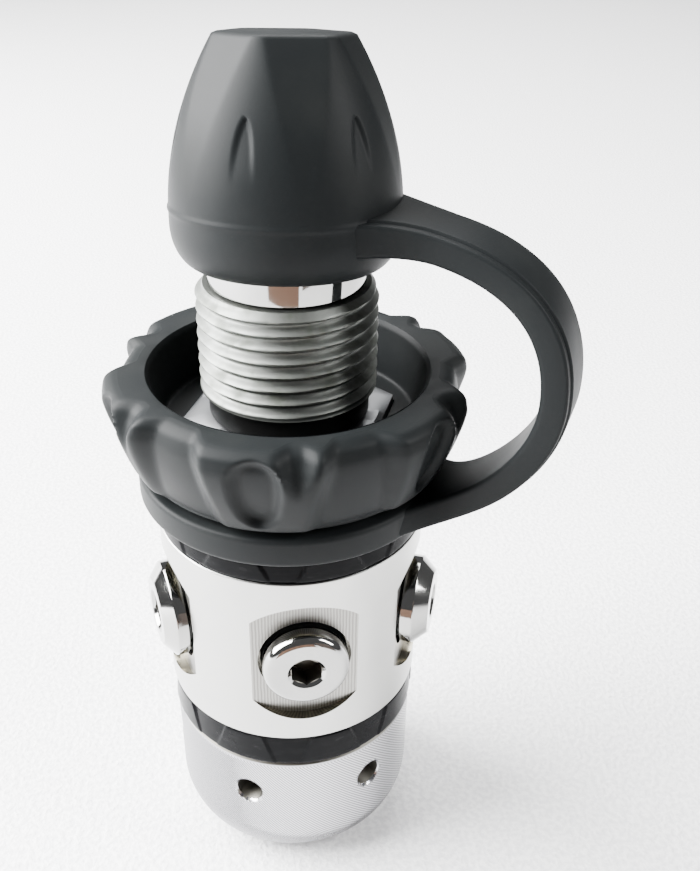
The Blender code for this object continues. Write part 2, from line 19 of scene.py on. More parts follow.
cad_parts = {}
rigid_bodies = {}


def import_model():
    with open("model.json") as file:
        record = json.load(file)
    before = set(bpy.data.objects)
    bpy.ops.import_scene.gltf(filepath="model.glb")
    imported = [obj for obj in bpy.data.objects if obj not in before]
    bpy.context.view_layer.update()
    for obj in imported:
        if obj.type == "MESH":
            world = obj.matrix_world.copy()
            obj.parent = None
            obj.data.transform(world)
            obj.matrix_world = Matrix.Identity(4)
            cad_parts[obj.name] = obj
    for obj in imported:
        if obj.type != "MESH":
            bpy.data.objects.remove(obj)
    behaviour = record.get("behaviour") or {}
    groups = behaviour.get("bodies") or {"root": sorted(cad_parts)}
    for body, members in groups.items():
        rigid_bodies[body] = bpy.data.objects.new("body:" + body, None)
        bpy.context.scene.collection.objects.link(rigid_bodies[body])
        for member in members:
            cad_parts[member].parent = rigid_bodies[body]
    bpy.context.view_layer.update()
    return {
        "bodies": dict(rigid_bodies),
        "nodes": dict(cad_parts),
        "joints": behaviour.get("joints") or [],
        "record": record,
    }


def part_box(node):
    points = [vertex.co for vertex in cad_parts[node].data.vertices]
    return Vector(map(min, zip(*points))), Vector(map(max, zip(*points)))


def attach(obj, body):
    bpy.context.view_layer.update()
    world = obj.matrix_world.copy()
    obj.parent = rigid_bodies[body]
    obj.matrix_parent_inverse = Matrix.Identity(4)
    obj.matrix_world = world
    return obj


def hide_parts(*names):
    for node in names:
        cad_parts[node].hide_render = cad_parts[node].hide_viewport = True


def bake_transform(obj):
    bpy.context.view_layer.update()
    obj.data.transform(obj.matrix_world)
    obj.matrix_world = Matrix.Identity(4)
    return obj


LOG = logging.getLogger("first_stage")
MM = 0.001

Profile = list[tuple[float, float]]
Shape = Callable[[float, float, float], tuple[float, float]]
FaceTest = Callable[[Vector, Vector], bool]
Colour = tuple[float, float, float]


# Numbers ---------------------------------------------------------------------------------------


def smooth_step(value: float, low: float, high: float) -> float:
    """Rises smoothly from 0 at low to 1 at high.

    Args:
        value: where to read the step.
        low: the value at which it starts.
        high: the value at which it is done, which may be below low.

    Returns:
        The share of the step, from 0 to 1.
    """
    share = min(max((value - low) / (high - low), 0.0), 1.0)
    return share * share * (3 - 2 * share)


def offset_from(azimuth: float, centre: float, pitch: float) -> float:
    """The signed angle from the nearest of the features that repeat every pitch degrees."""
    return (azimuth - centre + pitch / 2) % pitch - pitch / 2


def rounded(corners: Sequence[tuple[float, float, float]], steps: int = 4) -> Profile:
    """Rounds the corners of an outline.

    Args:
        corners: (radius, height, rounding) of each corner, in order round the outline.
        steps: how many chords each rounding has.

    Returns:
        The outline's points, with each rounded corner as a short curve.
    """
    points: Profile = []
    for index, (radius, height, rounding) in enumerate(corners):
        here = Vector((radius, height))
        if rounding == 0:
            points.append((radius, height))
            continue
        before = Vector(corners[index - 1][:2])
        after = Vector(corners[(index + 1) % len(corners)][:2])
        start = here + (before - here).normalized() * rounding
        end = here + (after - here).normalized() * rounding
        for step in range(steps + 1):
            share = step / steps
            first = start.lerp(here, share)
            point = first.lerp(here.lerp(end, share), share)
            points.append((point.x, point.y))
    return points


def flowing(points: Profile, steps: int = 6) -> Profile:
    """Passes a smooth curve through points.

    Args:
        points: the points, which the curve keeps.
        steps: how many pieces replace each segment.

    Returns:
        The curve's points.
    """
    ends = [points[0], *points, points[-1]]
    curve: Profile = []
    for quad in zip(ends, ends[1:], ends[2:], ends[3:]):
        before, start, end, after = (Vector(point) for point in quad)
        slope = end - before
        sag = 2 * before - 5 * start + 4 * end - after
        twist = 3 * (start - end) + after - before
        for step in range(steps):
            share = step / steps
            point = start + 0.5 * share * (slope + share * (sag + share * twist))
            curve.append((point.x, point.y))
    return curve + [points[-1]]


def subdivided(profile: Profile, longest: float) -> Profile:
    """Adds points so that no run of a profile is longer than the given length."""
    points: Profile = [profile[0]]
    for start, end in zip(profile, profile[1:]):
        length = math.hypot(end[0] - start[0], end[1] - start[1])
        count = max(1, math.ceil(length / longest))
        for step in range(1, count + 1):
            share = step / count
            points.append(
                (start[0] + (end[0] - start[0]) * share, start[1] + (end[1] - start[1]) * share)
            )
    return points


# Meshes ----------------------------------------------------------------------------------------


def link_mesh(
    name: str,
    vertices: Sequence[Sequence[float]],
    faces: Sequence[Sequence[int]],
    sharp: float = 32.0,
) -> bpy.types.Object:
    """Makes an object of points and faces, shaded smooth but for edges sharper than an angle.

    Args:
        name: the object's name.
        vertices: the points, in metres.
        faces: the faces as point numbers, anticlockwise from outside.
        sharp: the angle in degrees past which an edge is left crisp.

    Returns:
        The new object, linked to the scene.
    """
    mesh = bpy.data.meshes.new(name)
    mesh.from_pydata(vertices, [], faces)
    mesh.shade_smooth()
    mesh.set_sharp_from_angle(angle=math.radians(sharp))
    obj = bpy.data.objects.new(name, mesh)
    bpy.context.scene.collection.objects.link(obj)
    return obj


def turned(
    name: str,
    profile: Profile,
    steps: int,
    shape: Shape | None = None,
    sharp: float = 32.0,
) -> bpy.types.Object:
    """Turns a profile about the Z axis, with an optional rule that bends each point's place.

    Args:
        name: the object's name.
        profile: (radius, height) points down the outer side. It is closed unless both its ends
            are on the axis.
        steps: how many points each ring has.
        shape: takes azimuth, radius and height, and returns the point's own radius and height.
        sharp: the angle in degrees past which an edge is left crisp.

    Returns:
        The new object, with its faces outwards.
    """
    on_axis = profile[0][0] == 0 and profile[-1][0] == 0
    rings = profile[1:-1] if on_axis else profile
    vertices: list[tuple[float, float, float]] = []
    for radius, height in rings:
        for step in range(steps):
            azimuth = 360 * step / steps
            across, up = shape(azimuth, radius, height) if shape else (radius, height)
            angle = math.radians(azimuth)
            vertices.append((across * math.sin(angle), -across * math.cos(angle), up))
    faces: list[tuple[int, ...]] = []
    rows = len(rings) - 1 if on_axis else len(rings)
    for row in range(rows):
        here = row * steps
        below = (row + 1) % len(rings) * steps
        for step in range(steps):
            beside = (step + 1) % steps
            faces.append((here + step, below + step, below + beside, here + beside))
    if on_axis:
        first_pole = len(vertices)
        last_ring = (len(rings) - 1) * steps
        vertices.append((0.0, 0.0, profile[0][1]))
        vertices.append((0.0, 0.0, profile[-1][1]))
        for step in range(steps):
            beside = (step + 1) % steps
            faces.append((first_pole, step, beside))
            faces.append((first_pole + 1, last_ring + beside, last_ring + step))
    return link_mesh(name, vertices, faces, sharp)


def facing_out(azimuth: float, height: float) -> Matrix:
    """The place of a piece whose own +Z faces out from the body's axis."""
    turn = Matrix.Rotation(math.radians(azimuth), 4, "Z")
    return Matrix.Translation((0, 0, height)) @ turn @ Matrix.Rotation(math.pi / 2, 4, "X")


def hex_prism(name: str, across_flats: float, low: float, high: float) -> bpy.types.Object:
    """A six sided prism about Z, with corners on the X axis."""
    radius = across_flats / 2 / math.cos(math.pi / 6)
    return turned(name, [(0, high), (radius, high), (radius, low), (0, low)], 6)


def settle(obj: bpy.types.Object, sharp: float = 32.0) -> None:
    """Turns an object's modifiers into its plain mesh.

    Args:
        obj: the object, whose modifiers are removed.
        sharp: the angle in degrees past which an edge is left crisp.
    """
    bpy.context.view_layer.update()
    evaluated = obj.evaluated_get(bpy.context.evaluated_depsgraph_get())
    mesh = bpy.data.meshes.new_from_object(evaluated)
    obj.modifiers.clear()
    obj.data = mesh
    mesh.shade_smooth()
    mesh.set_sharp_from_angle(angle=math.radians(sharp))


def carve(obj: bpy.types.Object, tools: Sequence[bpy.types.Object], sharp: float = 32.0) -> None:
    """Cuts an object with tools, and removes the tools."""
    for tool in tools:
        cut = obj.modifiers.new(tool.name, "BOOLEAN")
        cut.object = tool
        cut.operation = "DIFFERENCE"
    settle(obj, sharp)
    for tool in tools:
        bpy.data.objects.remove(tool)


def mark_faces(obj: bpy.types.Object, name: str, test: FaceTest) -> None:
    """Writes a mark of 1 on the faces that pass a test and 0 on the rest, for a finish to read.

    Args:
        obj: the object.
        name: the mark's name.
        test: takes a face's middle and normal, in the object's own axes.
    """
    mesh = obj.data
    attribute = mesh.attributes.new(name, "FLOAT", "FACE")
    marks = [float(test(face.center, face.normal)) for face in mesh.polygons]
    attribute.data.foreach_set("value", marks)


def place(
    obj: bpy.types.Object,
    body: str,
    slot: str,
    material: bpy.types.Material,
    node: str,
) -> None:
    """Dresses a finished piece, ties it to its body and hides the node that it stands for."""
    obj.data.materials.clear()
    obj.data.materials.append(material)
    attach(obj, body)
    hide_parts(node)
    LOG.info("%s: %d faces on %s", obj.name, len(obj.data.polygons), body)


@dataclass(frozen=True)
class Extent:
    """The radius and the lowest and highest points of a turned node of the frame."""

    radius: float
    low: float
    top: float

    @classmethod
    def of(cls, node: str) -> Extent:
        """Reads them from the frame."""
        low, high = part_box(node)
        return cls((high.x - low.x) / 2, low.z, high.z)


# Shader maths ----------------------------------------------------------------------------------


class Value:
    """A number that varies over a surface. Arithmetic on it adds Math nodes."""

    def __init__(self, tree: bpy.types.NodeTree, socket: bpy.types.NodeSocket) -> None:
        """Wraps an output socket of a tree."""
        self.tree = tree
        self.socket = socket

    def maths(self, operation: str, *others: Value | float) -> Value:
        """Adds a Math node.

        Args:
            operation: the Math node's operation.
            others: the operands after this one.

        Returns:
            The node's result.
        """
        node = self.tree.nodes.new("ShaderNodeMath")
        node.operation = operation
        for index, operand in enumerate((self, *others)):
            if isinstance(operand, Value):
                self.tree.links.new(operand.socket, node.inputs[index])
            else:
                node.inputs[index].default_value = operand
        return Value(self.tree, node.outputs[0])

    def __add__(self, other: Value | float) -> Value:
        """The sum."""
        return self.maths("ADD", other)

    __radd__ = __add__

    def __mul__(self, other: Value | float) -> Value:
        """The product."""
        return self.maths("MULTIPLY", other)

    __rmul__ = __mul__

    def __rsub__(self, other: float) -> Value:
        """A number less this value."""
        return self * -1 + other

    def __pow__(self, power: float) -> Value:
        """The value to a power."""
        return self.maths("POWER", power)

    def step(self, low: float, high: float) -> Value:
        """Rises smoothly from 0 at low to 1 at high."""
        node = self.tree.nodes.new("ShaderNodeMapRange")
        node.interpolation_type = "SMOOTHSTEP"
        self.tree.links.new(self.socket, node.inputs["Value"])
        node.inputs["From Min"].default_value = low
        node.inputs["From Max"].default_value = high
        return Value(self.tree, node.outputs["Result"])


class Skin:
    """A node material under construction round one Principled shader."""

    def __init__(self, name: str) -> None:
        """Starts an empty material of that name."""
        self.material = bpy.data.materials.new(name)
        self.material.use_nodes = True
        self.tree = self.material.node_tree
        self.shader = self.tree.nodes["Principled BSDF"]

    def node(
        self,
        kind: str,
        settings: dict[str, object] | None = None,
        sockets: dict[str | int, object] | None = None,
    ) -> bpy.types.Node:
        """Adds a node.

        Args:
            kind: the node's type.
            settings: its properties, which are set first.
            sockets: its inputs by name or number, as values, Value objects or sockets.

        Returns:
            The node.
        """
        made = self.tree.nodes.new(kind)
        for key, value in (settings or {}).items():
            setattr(made, key, value)
        for key, value in (sockets or {}).items():
            self.feed(made.inputs[key], value)
        return made

    def feed(self, socket: bpy.types.NodeSocket, value: object) -> None:
        """Sets an input, or links a value or socket to it."""
        if isinstance(value, Value):
            self.tree.links.new(value.socket, socket)
        elif isinstance(value, bpy.types.NodeSocket):
            self.tree.links.new(value, socket)
        else:
            socket.default_value = value

    def set(self, **inputs: object) -> None:
        """Sets inputs of the shader, named with underscores for spaces."""
        for key, value in inputs.items():
            title = key.replace("_", " ").title().replace("Ior", "IOR")
            self.feed(self.shader.inputs[title], value)

    def position(self) -> bpy.types.NodeSocket:
        """The place of a point in its object's own axes."""
        return self.node("ShaderNodeTexCoord").outputs["Object"]

    def axes(self) -> tuple[Value, Value, Value]:
        """The place of a point as three numbers."""
        split = self.node("ShaderNodeSeparateXYZ", None, {0: self.position()})
        return tuple(Value(self.tree, output) for output in split.outputs)

    def mark(self, name: str) -> Value:
        """The mark of that name, which is 0 where a piece has none."""
        reader = self.node("ShaderNodeAttribute", {"attribute_name": name})
        return Value(self.tree, reader.outputs["Fac"])

    def from_axis(self) -> Value:
        """The distance of a point from the body's axis."""
        across, along, _ = self.axes()
        return (across * across + along * along) ** 0.5

    def noise(
        self,
        size: float,
        detail: float = 2.0,
        stretch: tuple[float, float, float] = (1, 1, 1),
        vector: bpy.types.NodeSocket | None = None,
    ) -> Value:
        """Soft random variation.

        Args:
            size: the width of a blotch, in metres.
            detail: how many finer layers it has.
            stretch: how much faster it varies along each axis.
            vector: what it reads in place of the position.

        Returns:
            The variation, from 0 to 1.
        """
        scale = tuple(factor / size for factor in stretch)
        mapped = self.node(
            "ShaderNodeMapping", None, {"Vector": vector or self.position(), "Scale": scale}
        )
        noise = self.node(
            "ShaderNodeTexNoise",
            None,
            {"Vector": mapped.outputs[0], "Scale": 1.0, "Detail": detail},
        )
        return Value(self.tree, noise.outputs["Fac"])

    def join(self, *parts: Value | float) -> bpy.types.NodeSocket:
        """Makes a vector of three numbers."""
        joined = self.node("ShaderNodeCombineXYZ", None, dict(enumerate(parts)))
        return joined.outputs[0]

    def mix(
        self,
        share: Value,
        low: Colour | bpy.types.NodeSocket,
        high: Colour | bpy.types.NodeSocket,
    ) -> bpy.types.NodeSocket:
        """A colour between two colours or colour sockets, by share."""
        ends = [(*end, 1.0) if isinstance(end, tuple) else end for end in (low, high)]
        mixer = self.node(
            "ShaderNodeMix", {"data_type": "RGBA"}, {0: share, 6: ends[0], 7: ends[1]}
        )
        return mixer.outputs[2]

    def bump(self, height: Value, depth: float) -> None:
        """Raises the surface by a height from 0 to 1 times a depth in metres."""
        bump = self.node(
            "ShaderNodeBump", None, {"Height": height, "Distance": depth, "Strength": 1.0}
        )
        self.feed(self.shader.inputs["Normal"], bump.outputs[0])


# Finishes --------------------------------------------------------------------------------------


class Grain(Enum):
    """Which way a metal's fine tool marks run."""

    NONE = "none"
    AROUND = "around"
    PEARL = "pearl"


@dataclass(frozen=True)
class MetalFinish:
    """A bare or plated metal."""

    name: str
    colour: Colour
    stain: Colour
    roughness: float
    grain: Grain = Grain.NONE
    grain_size: float = 0.15 * MM
    grain_depth: float = 0.002 * MM
    blotch: float = 6.0 * MM
    stained: float = 0.5
    # Painted shade for faces inside holes, sockets and wells.
    bore_shade_colour: Colour = (0.13, 0.125, 0.11)
    # Painted highlight on a knurl's raised points, against the darker base colour that paints shade
    # in its grooves.
    peak_highlight: float = 0.0
    peak_highlight_colour: Colour = (0.62, 0.62, 0.64)

    def material(self) -> bpy.types.Material:
        """The finished material, with painted shade where a face is bored and a painted highlight
        on a knurl's raised points.
        """
        skin = Skin(self.name)
        blotches = skin.noise(self.blotch, 3).step(0.42, 0.75)
        fine = skin.noise(0.4 * MM, 2)
        bored = skin.mark("bored")
        plain = skin.mix(blotches * self.stained, self.colour, self.stain)
        # Painted highlight on the knurl's raised points.
        if self.peak_highlight:
            raised = skin.mark("knurl").step(-0.7, 0.9)
            plain = skin.mix(raised * self.peak_highlight, plain, self.peak_highlight_colour)
        skin.set(
            # Painted shade on bored faces.
            base_color=skin.mix(bored, plain, self.bore_shade_colour),
            roughness=blotches * (0.16 * self.stained)
            + fine * 0.05
            + bored * 0.3
            + (self.roughness - 0.04),
            metallic=1.0,
        )
        if self.grain is Grain.AROUND:
            _, _, height = skin.axes()
            lines = skin.join(skin.from_axis(), 0.0, height)
            skin.bump(skin.noise(self.grain_size, 1, vector=lines), self.grain_depth)
        elif self.grain is Grain.PEARL:
            skin.bump(skin.noise(self.grain_size, 1), self.grain_depth)
        return skin.material


@dataclass(frozen=True)
class BarrelFinish(MetalFinish):
    """Pearl chrome whose port faces are milled bright, with fine lines up them."""

    barrel_radius: float = 18.43 * MM
    floor_colour: Colour = (0.15, 0.147, 0.136)
    line_colour: Colour = (0.27, 0.265, 0.25)
    wall_colour: Colour = (0.3, 0.28, 0.22)
    milled_roughness: float = 0.34
    wall_roughness: float = 0.12
    line_pitch: float = 0.42 * MM

    def material(self) -> bpy.types.Material:
        """The finished material, lined where a face is milled and smooth, with painted shade, where
        it is bored.
        """
        skin = Skin(self.name)
        across, along, _ = skin.axes()
        milled, bored, walled = (skin.mark(name) for name in ("milled", "bored", "walled"))
        around = across.maths("ARCTAN2", along) * (self.barrel_radius / self.line_pitch)
        wander = skin.noise(1.5 * MM, 1) * 2
        lines = (around * (2 * math.pi) + wander).maths("SINE") * 0.5 + 0.5
        soil = skin.noise(self.blotch, 3).step(0.45, 0.8)
        plated = skin.mix(soil * self.stained, self.colour, self.stain)
        cut = skin.mix(lines, self.floor_colour, self.line_colour)
        faced = skin.mix(walled, skin.mix(milled, plated, cut), self.wall_colour)
        skin.set(
            # Painted shade on faces in the plugs' wells and bores.
            base_color=skin.mix(bored, faced, self.bore_shade_colour),
            roughness=milled * (self.milled_roughness - self.roughness)
            + walled * (self.wall_roughness - self.roughness)
            + self.roughness,
            metallic=1.0,
        )
        pearl = skin.noise(self.grain_size, 1) * (1 - milled) * (1 - walled)
        skin.bump(pearl * 0.25 + lines * milled, self.grain_depth)
        return skin.material


@dataclass(frozen=True)
class RubberFinish:
    """Moulded rubber, with a fine grain, a soft sheen and a little dust."""

    name: str
    colour: Colour = (0.0062, 0.0072, 0.0076)
    dust: Colour = (0.011, 0.012, 0.0116)
    specular: float = 0.07
    roughness: float = 0.5
    grain: float = 0.22 * MM
    depth: float = 0.006 * MM

    def material(self) -> bpy.types.Material:
        """The finished material."""
        skin = Skin(self.name)
        clouds = skin.noise(9 * MM, 3).step(0.4, 0.8)
        specks = skin.noise(0.35 * MM, 1).step(0.72, 0.8)
        grain = skin.noise(self.grain, 2)
        skin.set(
            base_color=skin.mix(clouds * 0.5 + specks * 0.5, self.colour, self.dust),
            roughness=clouds * 0.07 + grain * 0.06 + (self.roughness - 0.05),
            metallic=0.0,
            specular_ior_level=self.specular,
        )
        skin.bump(grain, self.depth)
        return skin.material


@dataclass(frozen=True)
class GlossFinish:
    """A smooth lacquered or moulded surface, with faint smears."""

    name: str
    colour: Colour
    smear: Colour
    roughness: float = 0.14
    specular: float = 0.5

    def material(self) -> bpy.types.Material:
        """The finished material."""
        skin = Skin(self.name)
        smears = skin.noise(3 * MM, 3, (1, 1, 3)).step(0.45, 0.75)
        skin.set(
            base_color=skin.mix(smears, self.colour, self.smear),
            roughness=smears * 0.1 + self.roughness,
            metallic=0.0,
            specular_ior_level=self.specular,
        )
        skin.bump(skin.noise(0.8 * MM, 1), 0.002 * MM)
        return skin.material


@dataclass(frozen=True)
class ClothFinish:
    """The pale, finely grained sheet that the object stands on."""

    name: str = "pale_sheet"
    colour: Colour = (0.8, 0.8, 0.8)
    shade: Colour = (0.66, 0.66, 0.67)

    def material(self) -> bpy.types.Material:
        """The finished material."""
        skin = Skin(self.name)
        grain = skin.noise(0.9 * MM, 2)
        threads = grain.step(0.35, 0.65)
        skin.set(base_color=skin.mix(threads, self.shade, self.colour), roughness=0.6)
        skin.bump(grain, 0.25 * MM)
        return skin.material


class Finishes:
    """Every material of the object, built once."""

    def __init__(self) -> None:
        """Builds them."""
        self.barrel = BarrelFinish(
            "pearl_chrome_barrel",
            (0.44, 0.44, 0.425),
            (0.38, 0.38, 0.37),
            0.26,
            grain_size=0.12 * MM,
            grain_depth=0.012 * MM,
        ).material()
        # The knurl's raised points take a painted highlight, and its grooves keep the dark base
        # colour as painted shade.
        self.knurl = MetalFinish(
            "knurled_chrome", (0.17, 0.17, 0.18), (0.15, 0.15, 0.16), 0.24, stained=0.3, peak_highlight=0.85
        ).material()
        self.polish = MetalFinish(
            "polished_chrome",
            (0.33, 0.33, 0.32),
            (0.29, 0.29, 0.28),
            0.07,
            Grain.AROUND,
            grain_size=0.3 * MM,
            grain_depth=0.0006 * MM,
        ).material()
        self.thread = MetalFinish(
            "tarnished_thread",
            (0.16, 0.168, 0.157),
            (0.09, 0.096, 0.084),
            0.5,
            Grain.AROUND,
            grain_size=0.12 * MM,
            grain_depth=0.006 * MM,
            blotch=3 * MM,
            stained=0.9,
        ).material()
        self.flange = MetalFinish(
            "matte_flange", (0.2, 0.205, 0.21), (0.16, 0.16, 0.165), 0.45, Grain.PEARL
        ).material()
        self.rubber = RubberFinish("moulded_rubber").material()
        self.gloss = GlossFinish(
            "gloss_black", (0.003, 0.0032, 0.0036), (0.006, 0.0062, 0.0066), 0.2, 0.03
        ).material()
        self.seal = RubberFinish("seal_rubber", (0.004, 0.004, 0.004), roughness=0.4).material()
        self.brass = MetalFinish(
            "turned_brass", (0.75, 0.56, 0.26), (0.5, 0.36, 0.16), 0.25, Grain.AROUND
        ).material()
        self.steel = MetalFinish(
            "turned_steel", (0.6, 0.6, 0.61), (0.45, 0.45, 0.45), 0.25, Grain.AROUND
        ).material()
        self.seat = GlossFinish(
            "seat_plastic", (0.7, 0.69, 0.64), (0.6, 0.59, 0.55), 0.4
        ).material()


# Pieces ----------------------------------------------------------------------------------------


@dataclass
class EndCap:
    """The knurled cap at the foot, with its ring of ambient holes."""

    finishes: Finishes
    fillet: float = 8.0 * MM
    floor: float = 4.0 * MM
    bore: float = 13.6 * MM
    spigot_bore: float = 15.0 * MM
    spigot_bore_z: float = 18.4 * MM
    plain_foot: float = 10.3 * MM
    knurl_columns: int = 220
    knurl_row: float = 0.27 * MM
    knurl_depth: float = 0.06 * MM
    hole_radius: float = 2.0 * MM
    countersink: float = 0.35 * MM
    hole_z: float = 15.9 * MM
    hole_azimuth: float = 33.0
    hole_count: int = 6
    rim: float = 0.5 * MM

    def knurl_tree(self) -> bpy.types.NodeTree:
        """The tree that raises and sinks alternate points of the knurled skin along its normals.

        Returns:
            A tree with the inputs Depth and Finish.
        """
        tree = bpy.data.node_groups.new("diamond_knurl", "GeometryNodeTree")
        panel = tree.interface
        panel.new_socket("Geometry", in_out="INPUT", socket_type="NodeSocketGeometry")
        panel.new_socket("Depth", in_out="INPUT", socket_type="NodeSocketFloat")
        panel.new_socket("Finish", in_out="INPUT", socket_type="NodeSocketMaterial")
        panel.new_socket("Geometry", in_out="OUTPUT", socket_type="NodeSocketGeometry")
        given = tree.nodes.new("NodeGroupInput")
        checker = tree.nodes.new("GeometryNodeInputNamedAttribute")
        checker.data_type = "FLOAT"
        checker.inputs["Name"].default_value = "knurl"
        height = tree.nodes.new("ShaderNodeMath")
        height.operation = "MULTIPLY"
        offset = tree.nodes.new("ShaderNodeVectorMath")
        offset.operation = "SCALE"
        normal = tree.nodes.new("GeometryNodeInputNormal")
        move = tree.nodes.new("GeometryNodeSetPosition")
        realize = tree.nodes.new("GeometryNodeRealizeInstances")
        dress = tree.nodes.new("GeometryNodeSetMaterial")
        made = tree.nodes.new("NodeGroupOutput")
        link = tree.links.new
        link(checker.outputs["Attribute"], height.inputs[0])
        link(given.outputs["Depth"], height.inputs[1])
        link(normal.outputs[0], offset.inputs[0])
        link(height.outputs[0], offset.inputs["Scale"])
        link(given.outputs["Geometry"], move.inputs["Geometry"])
        link(offset.outputs[0], move.inputs["Offset"])
        link(move.outputs[0], realize.inputs[0])
        link(realize.outputs[0], dress.inputs["Geometry"])
        link(given.outputs["Finish"], dress.inputs["Material"])
        link(dress.outputs[0], made.inputs[0])
        return tree

    def outline(self, radius: float, top: float) -> Profile:
        """The knurled wall and fillet, from the rim down to the plain foot."""
        centre = radius - self.fillet
        bend = [
            (centre + self.fillet * math.cos(a), self.fillet + self.fillet * math.sin(a))
            for a in (math.radians(-90 * i / 24) for i in range(25))
        ]
        return subdivided([(radius, top - self.rim)] + bend, self.knurl_row)

    def mark_knurl(self, mesh: bpy.types.Mesh, knurled_rows: range, steps: int) -> None:
        """Writes the alternating height of each point, which is 0 off the knurled skin. The knurled
        finish also reads it to paint a highlight on the raised points.
        """
        heights = [0.0] * len(mesh.vertices)
        for row in knurled_rows:
            for step in range(steps):
                heights[row * steps + step] = 1.0 if (row + step) % 2 else -1.0
        attribute = mesh.attributes.new("knurl", "FLOAT", "POINT")
        attribute.data.foreach_set("value", heights)

    def build(self) -> None:
        """Makes the cap, knurls it and drills it."""
        extent = Extent.of("end_cap")
        radius = extent.radius - self.knurl_depth
        inner = [
            (0.0, self.floor),
            (self.bore, self.floor),
            (self.bore, self.spigot_bore_z),
            (self.spigot_bore, self.spigot_bore_z),
            (self.spigot_bore, extent.top),
            (radius - self.rim, extent.top),
        ]
        wall = self.outline(radius, extent.top)
        profile = inner + wall + [(0.0, 0.0)]
        steps = 2 * self.knurl_columns
        cap = turned("knurled_end_cap", profile, steps, sharp=50)
        first = len(inner) - 1
        knurled = [row for row, (across, _) in enumerate(wall) if across > self.plain_foot][2:]
        rows = range(knurled[0] + first, knurled[-1] + first)
        self.mark_knurl(cap.data, rows, steps)
        tree = self.knurl_tree()
        modifier = cap.modifiers.new("Knurl", "NODES")
        modifier.node_group = tree
        sockets = {item.name: item.identifier for item in tree.interface.items_tree}
        modifier[sockets["Depth"]] = self.knurl_depth
        modifier[sockets["Finish"]] = self.finishes.knurl
        settle(cap, 80)
        tools = []
        outside = radius + 0.4 * MM
        drill = [
            (0.0, outside),
            (self.hole_radius + self.countersink + 0.4 * MM, outside),
            (self.hole_radius, radius - self.countersink),
            (self.hole_radius, self.bore - 1 * MM),
            (0.0, self.bore - 1 * MM),
        ]
        for index in range(self.hole_count):
            tool = turned(f"drill_{index}", drill, 48)
            azimuth = self.hole_azimuth + 360 / self.hole_count * index
            tool.data.transform(facing_out(azimuth, self.hole_z))
            tools.append(tool)
        carve(cap, tools, 80)
        largest = 0.2 * MM * MM
        for face in cap.data.polygons:
            across = math.hypot(face.center.x, face.center.y)
            if across > self.plain_foot and face.area < largest and face.normal.z < 0.5:
                face.use_smooth = False
        skin_radius = radius - self.knurl_depth - 0.05 * MM

        def bored(middle: Vector, _: Vector) -> bool:
            """Whether a face is in a drilled hole or inside the cap, where the finish paints shade.
            """
            across = math.hypot(middle.x, middle.y)
            in_hole = across < skin_radius and middle.z > self.hole_z - 1.3 * self.hole_radius
            return in_hole or (across < skin_radius - self.fillet and middle.z > 0.5 * MM)

        mark_faces(cap, "bored", bored)
        place(cap, "first_stage", "knurled_chrome", self.finishes.knurl, "end_cap")


@dataclass
class TrimBand:
    """A gloss black ring with shallow tapered facets round it."""

    node: str
    finishes: Finishes
    facet_count: int = 9
    facet_azimuth: float = -8.0
    top_half: float = 3.6 * MM
    low_half: float = 1.7 * MM
    depth: float = 0.4 * MM
    seat: float = 16.25 * MM
    steps: int = 720

    def build(self) -> None:
        """Makes the ring, each facet a flat that narrows downwards between crisp edges."""
        extent = Extent.of(self.node)
        edge = 0.25 * MM
        profile = rounded(
            [
                (self.seat, extent.top, 0),
                (extent.radius, extent.top, edge),
                (extent.radius, extent.low, edge),
                (self.seat, extent.low, 0),
            ]
        )
        pitch = 360 / self.facet_count

        def facet(azimuth: float, radius: float, height: float) -> tuple[float, float]:
            """Draws a facet's points in towards the axis."""
            if radius < extent.radius - 2 * edge:
                return radius, height
            rise = (height - extent.low) / (extent.top - extent.low)
            half = self.low_half + (self.top_half - self.low_half) * rise
            reach = abs(math.radians(offset_from(azimuth, self.facet_azimuth, pitch))) * radius
            sunk = 1 - smooth_step(reach, half - 0.2 * MM, half + 0.1 * MM)
            return radius - self.depth * sunk * (0.3 + 0.7 * rise), height

        ring = [profile[0], *subdivided(profile[1:-1], 0.5 * MM), profile[-1]]
        band = turned(f"{self.node}_faceted", ring, self.steps, facet, 25)
        place(band, "first_stage", "black_gloss", self.finishes.gloss, self.node)


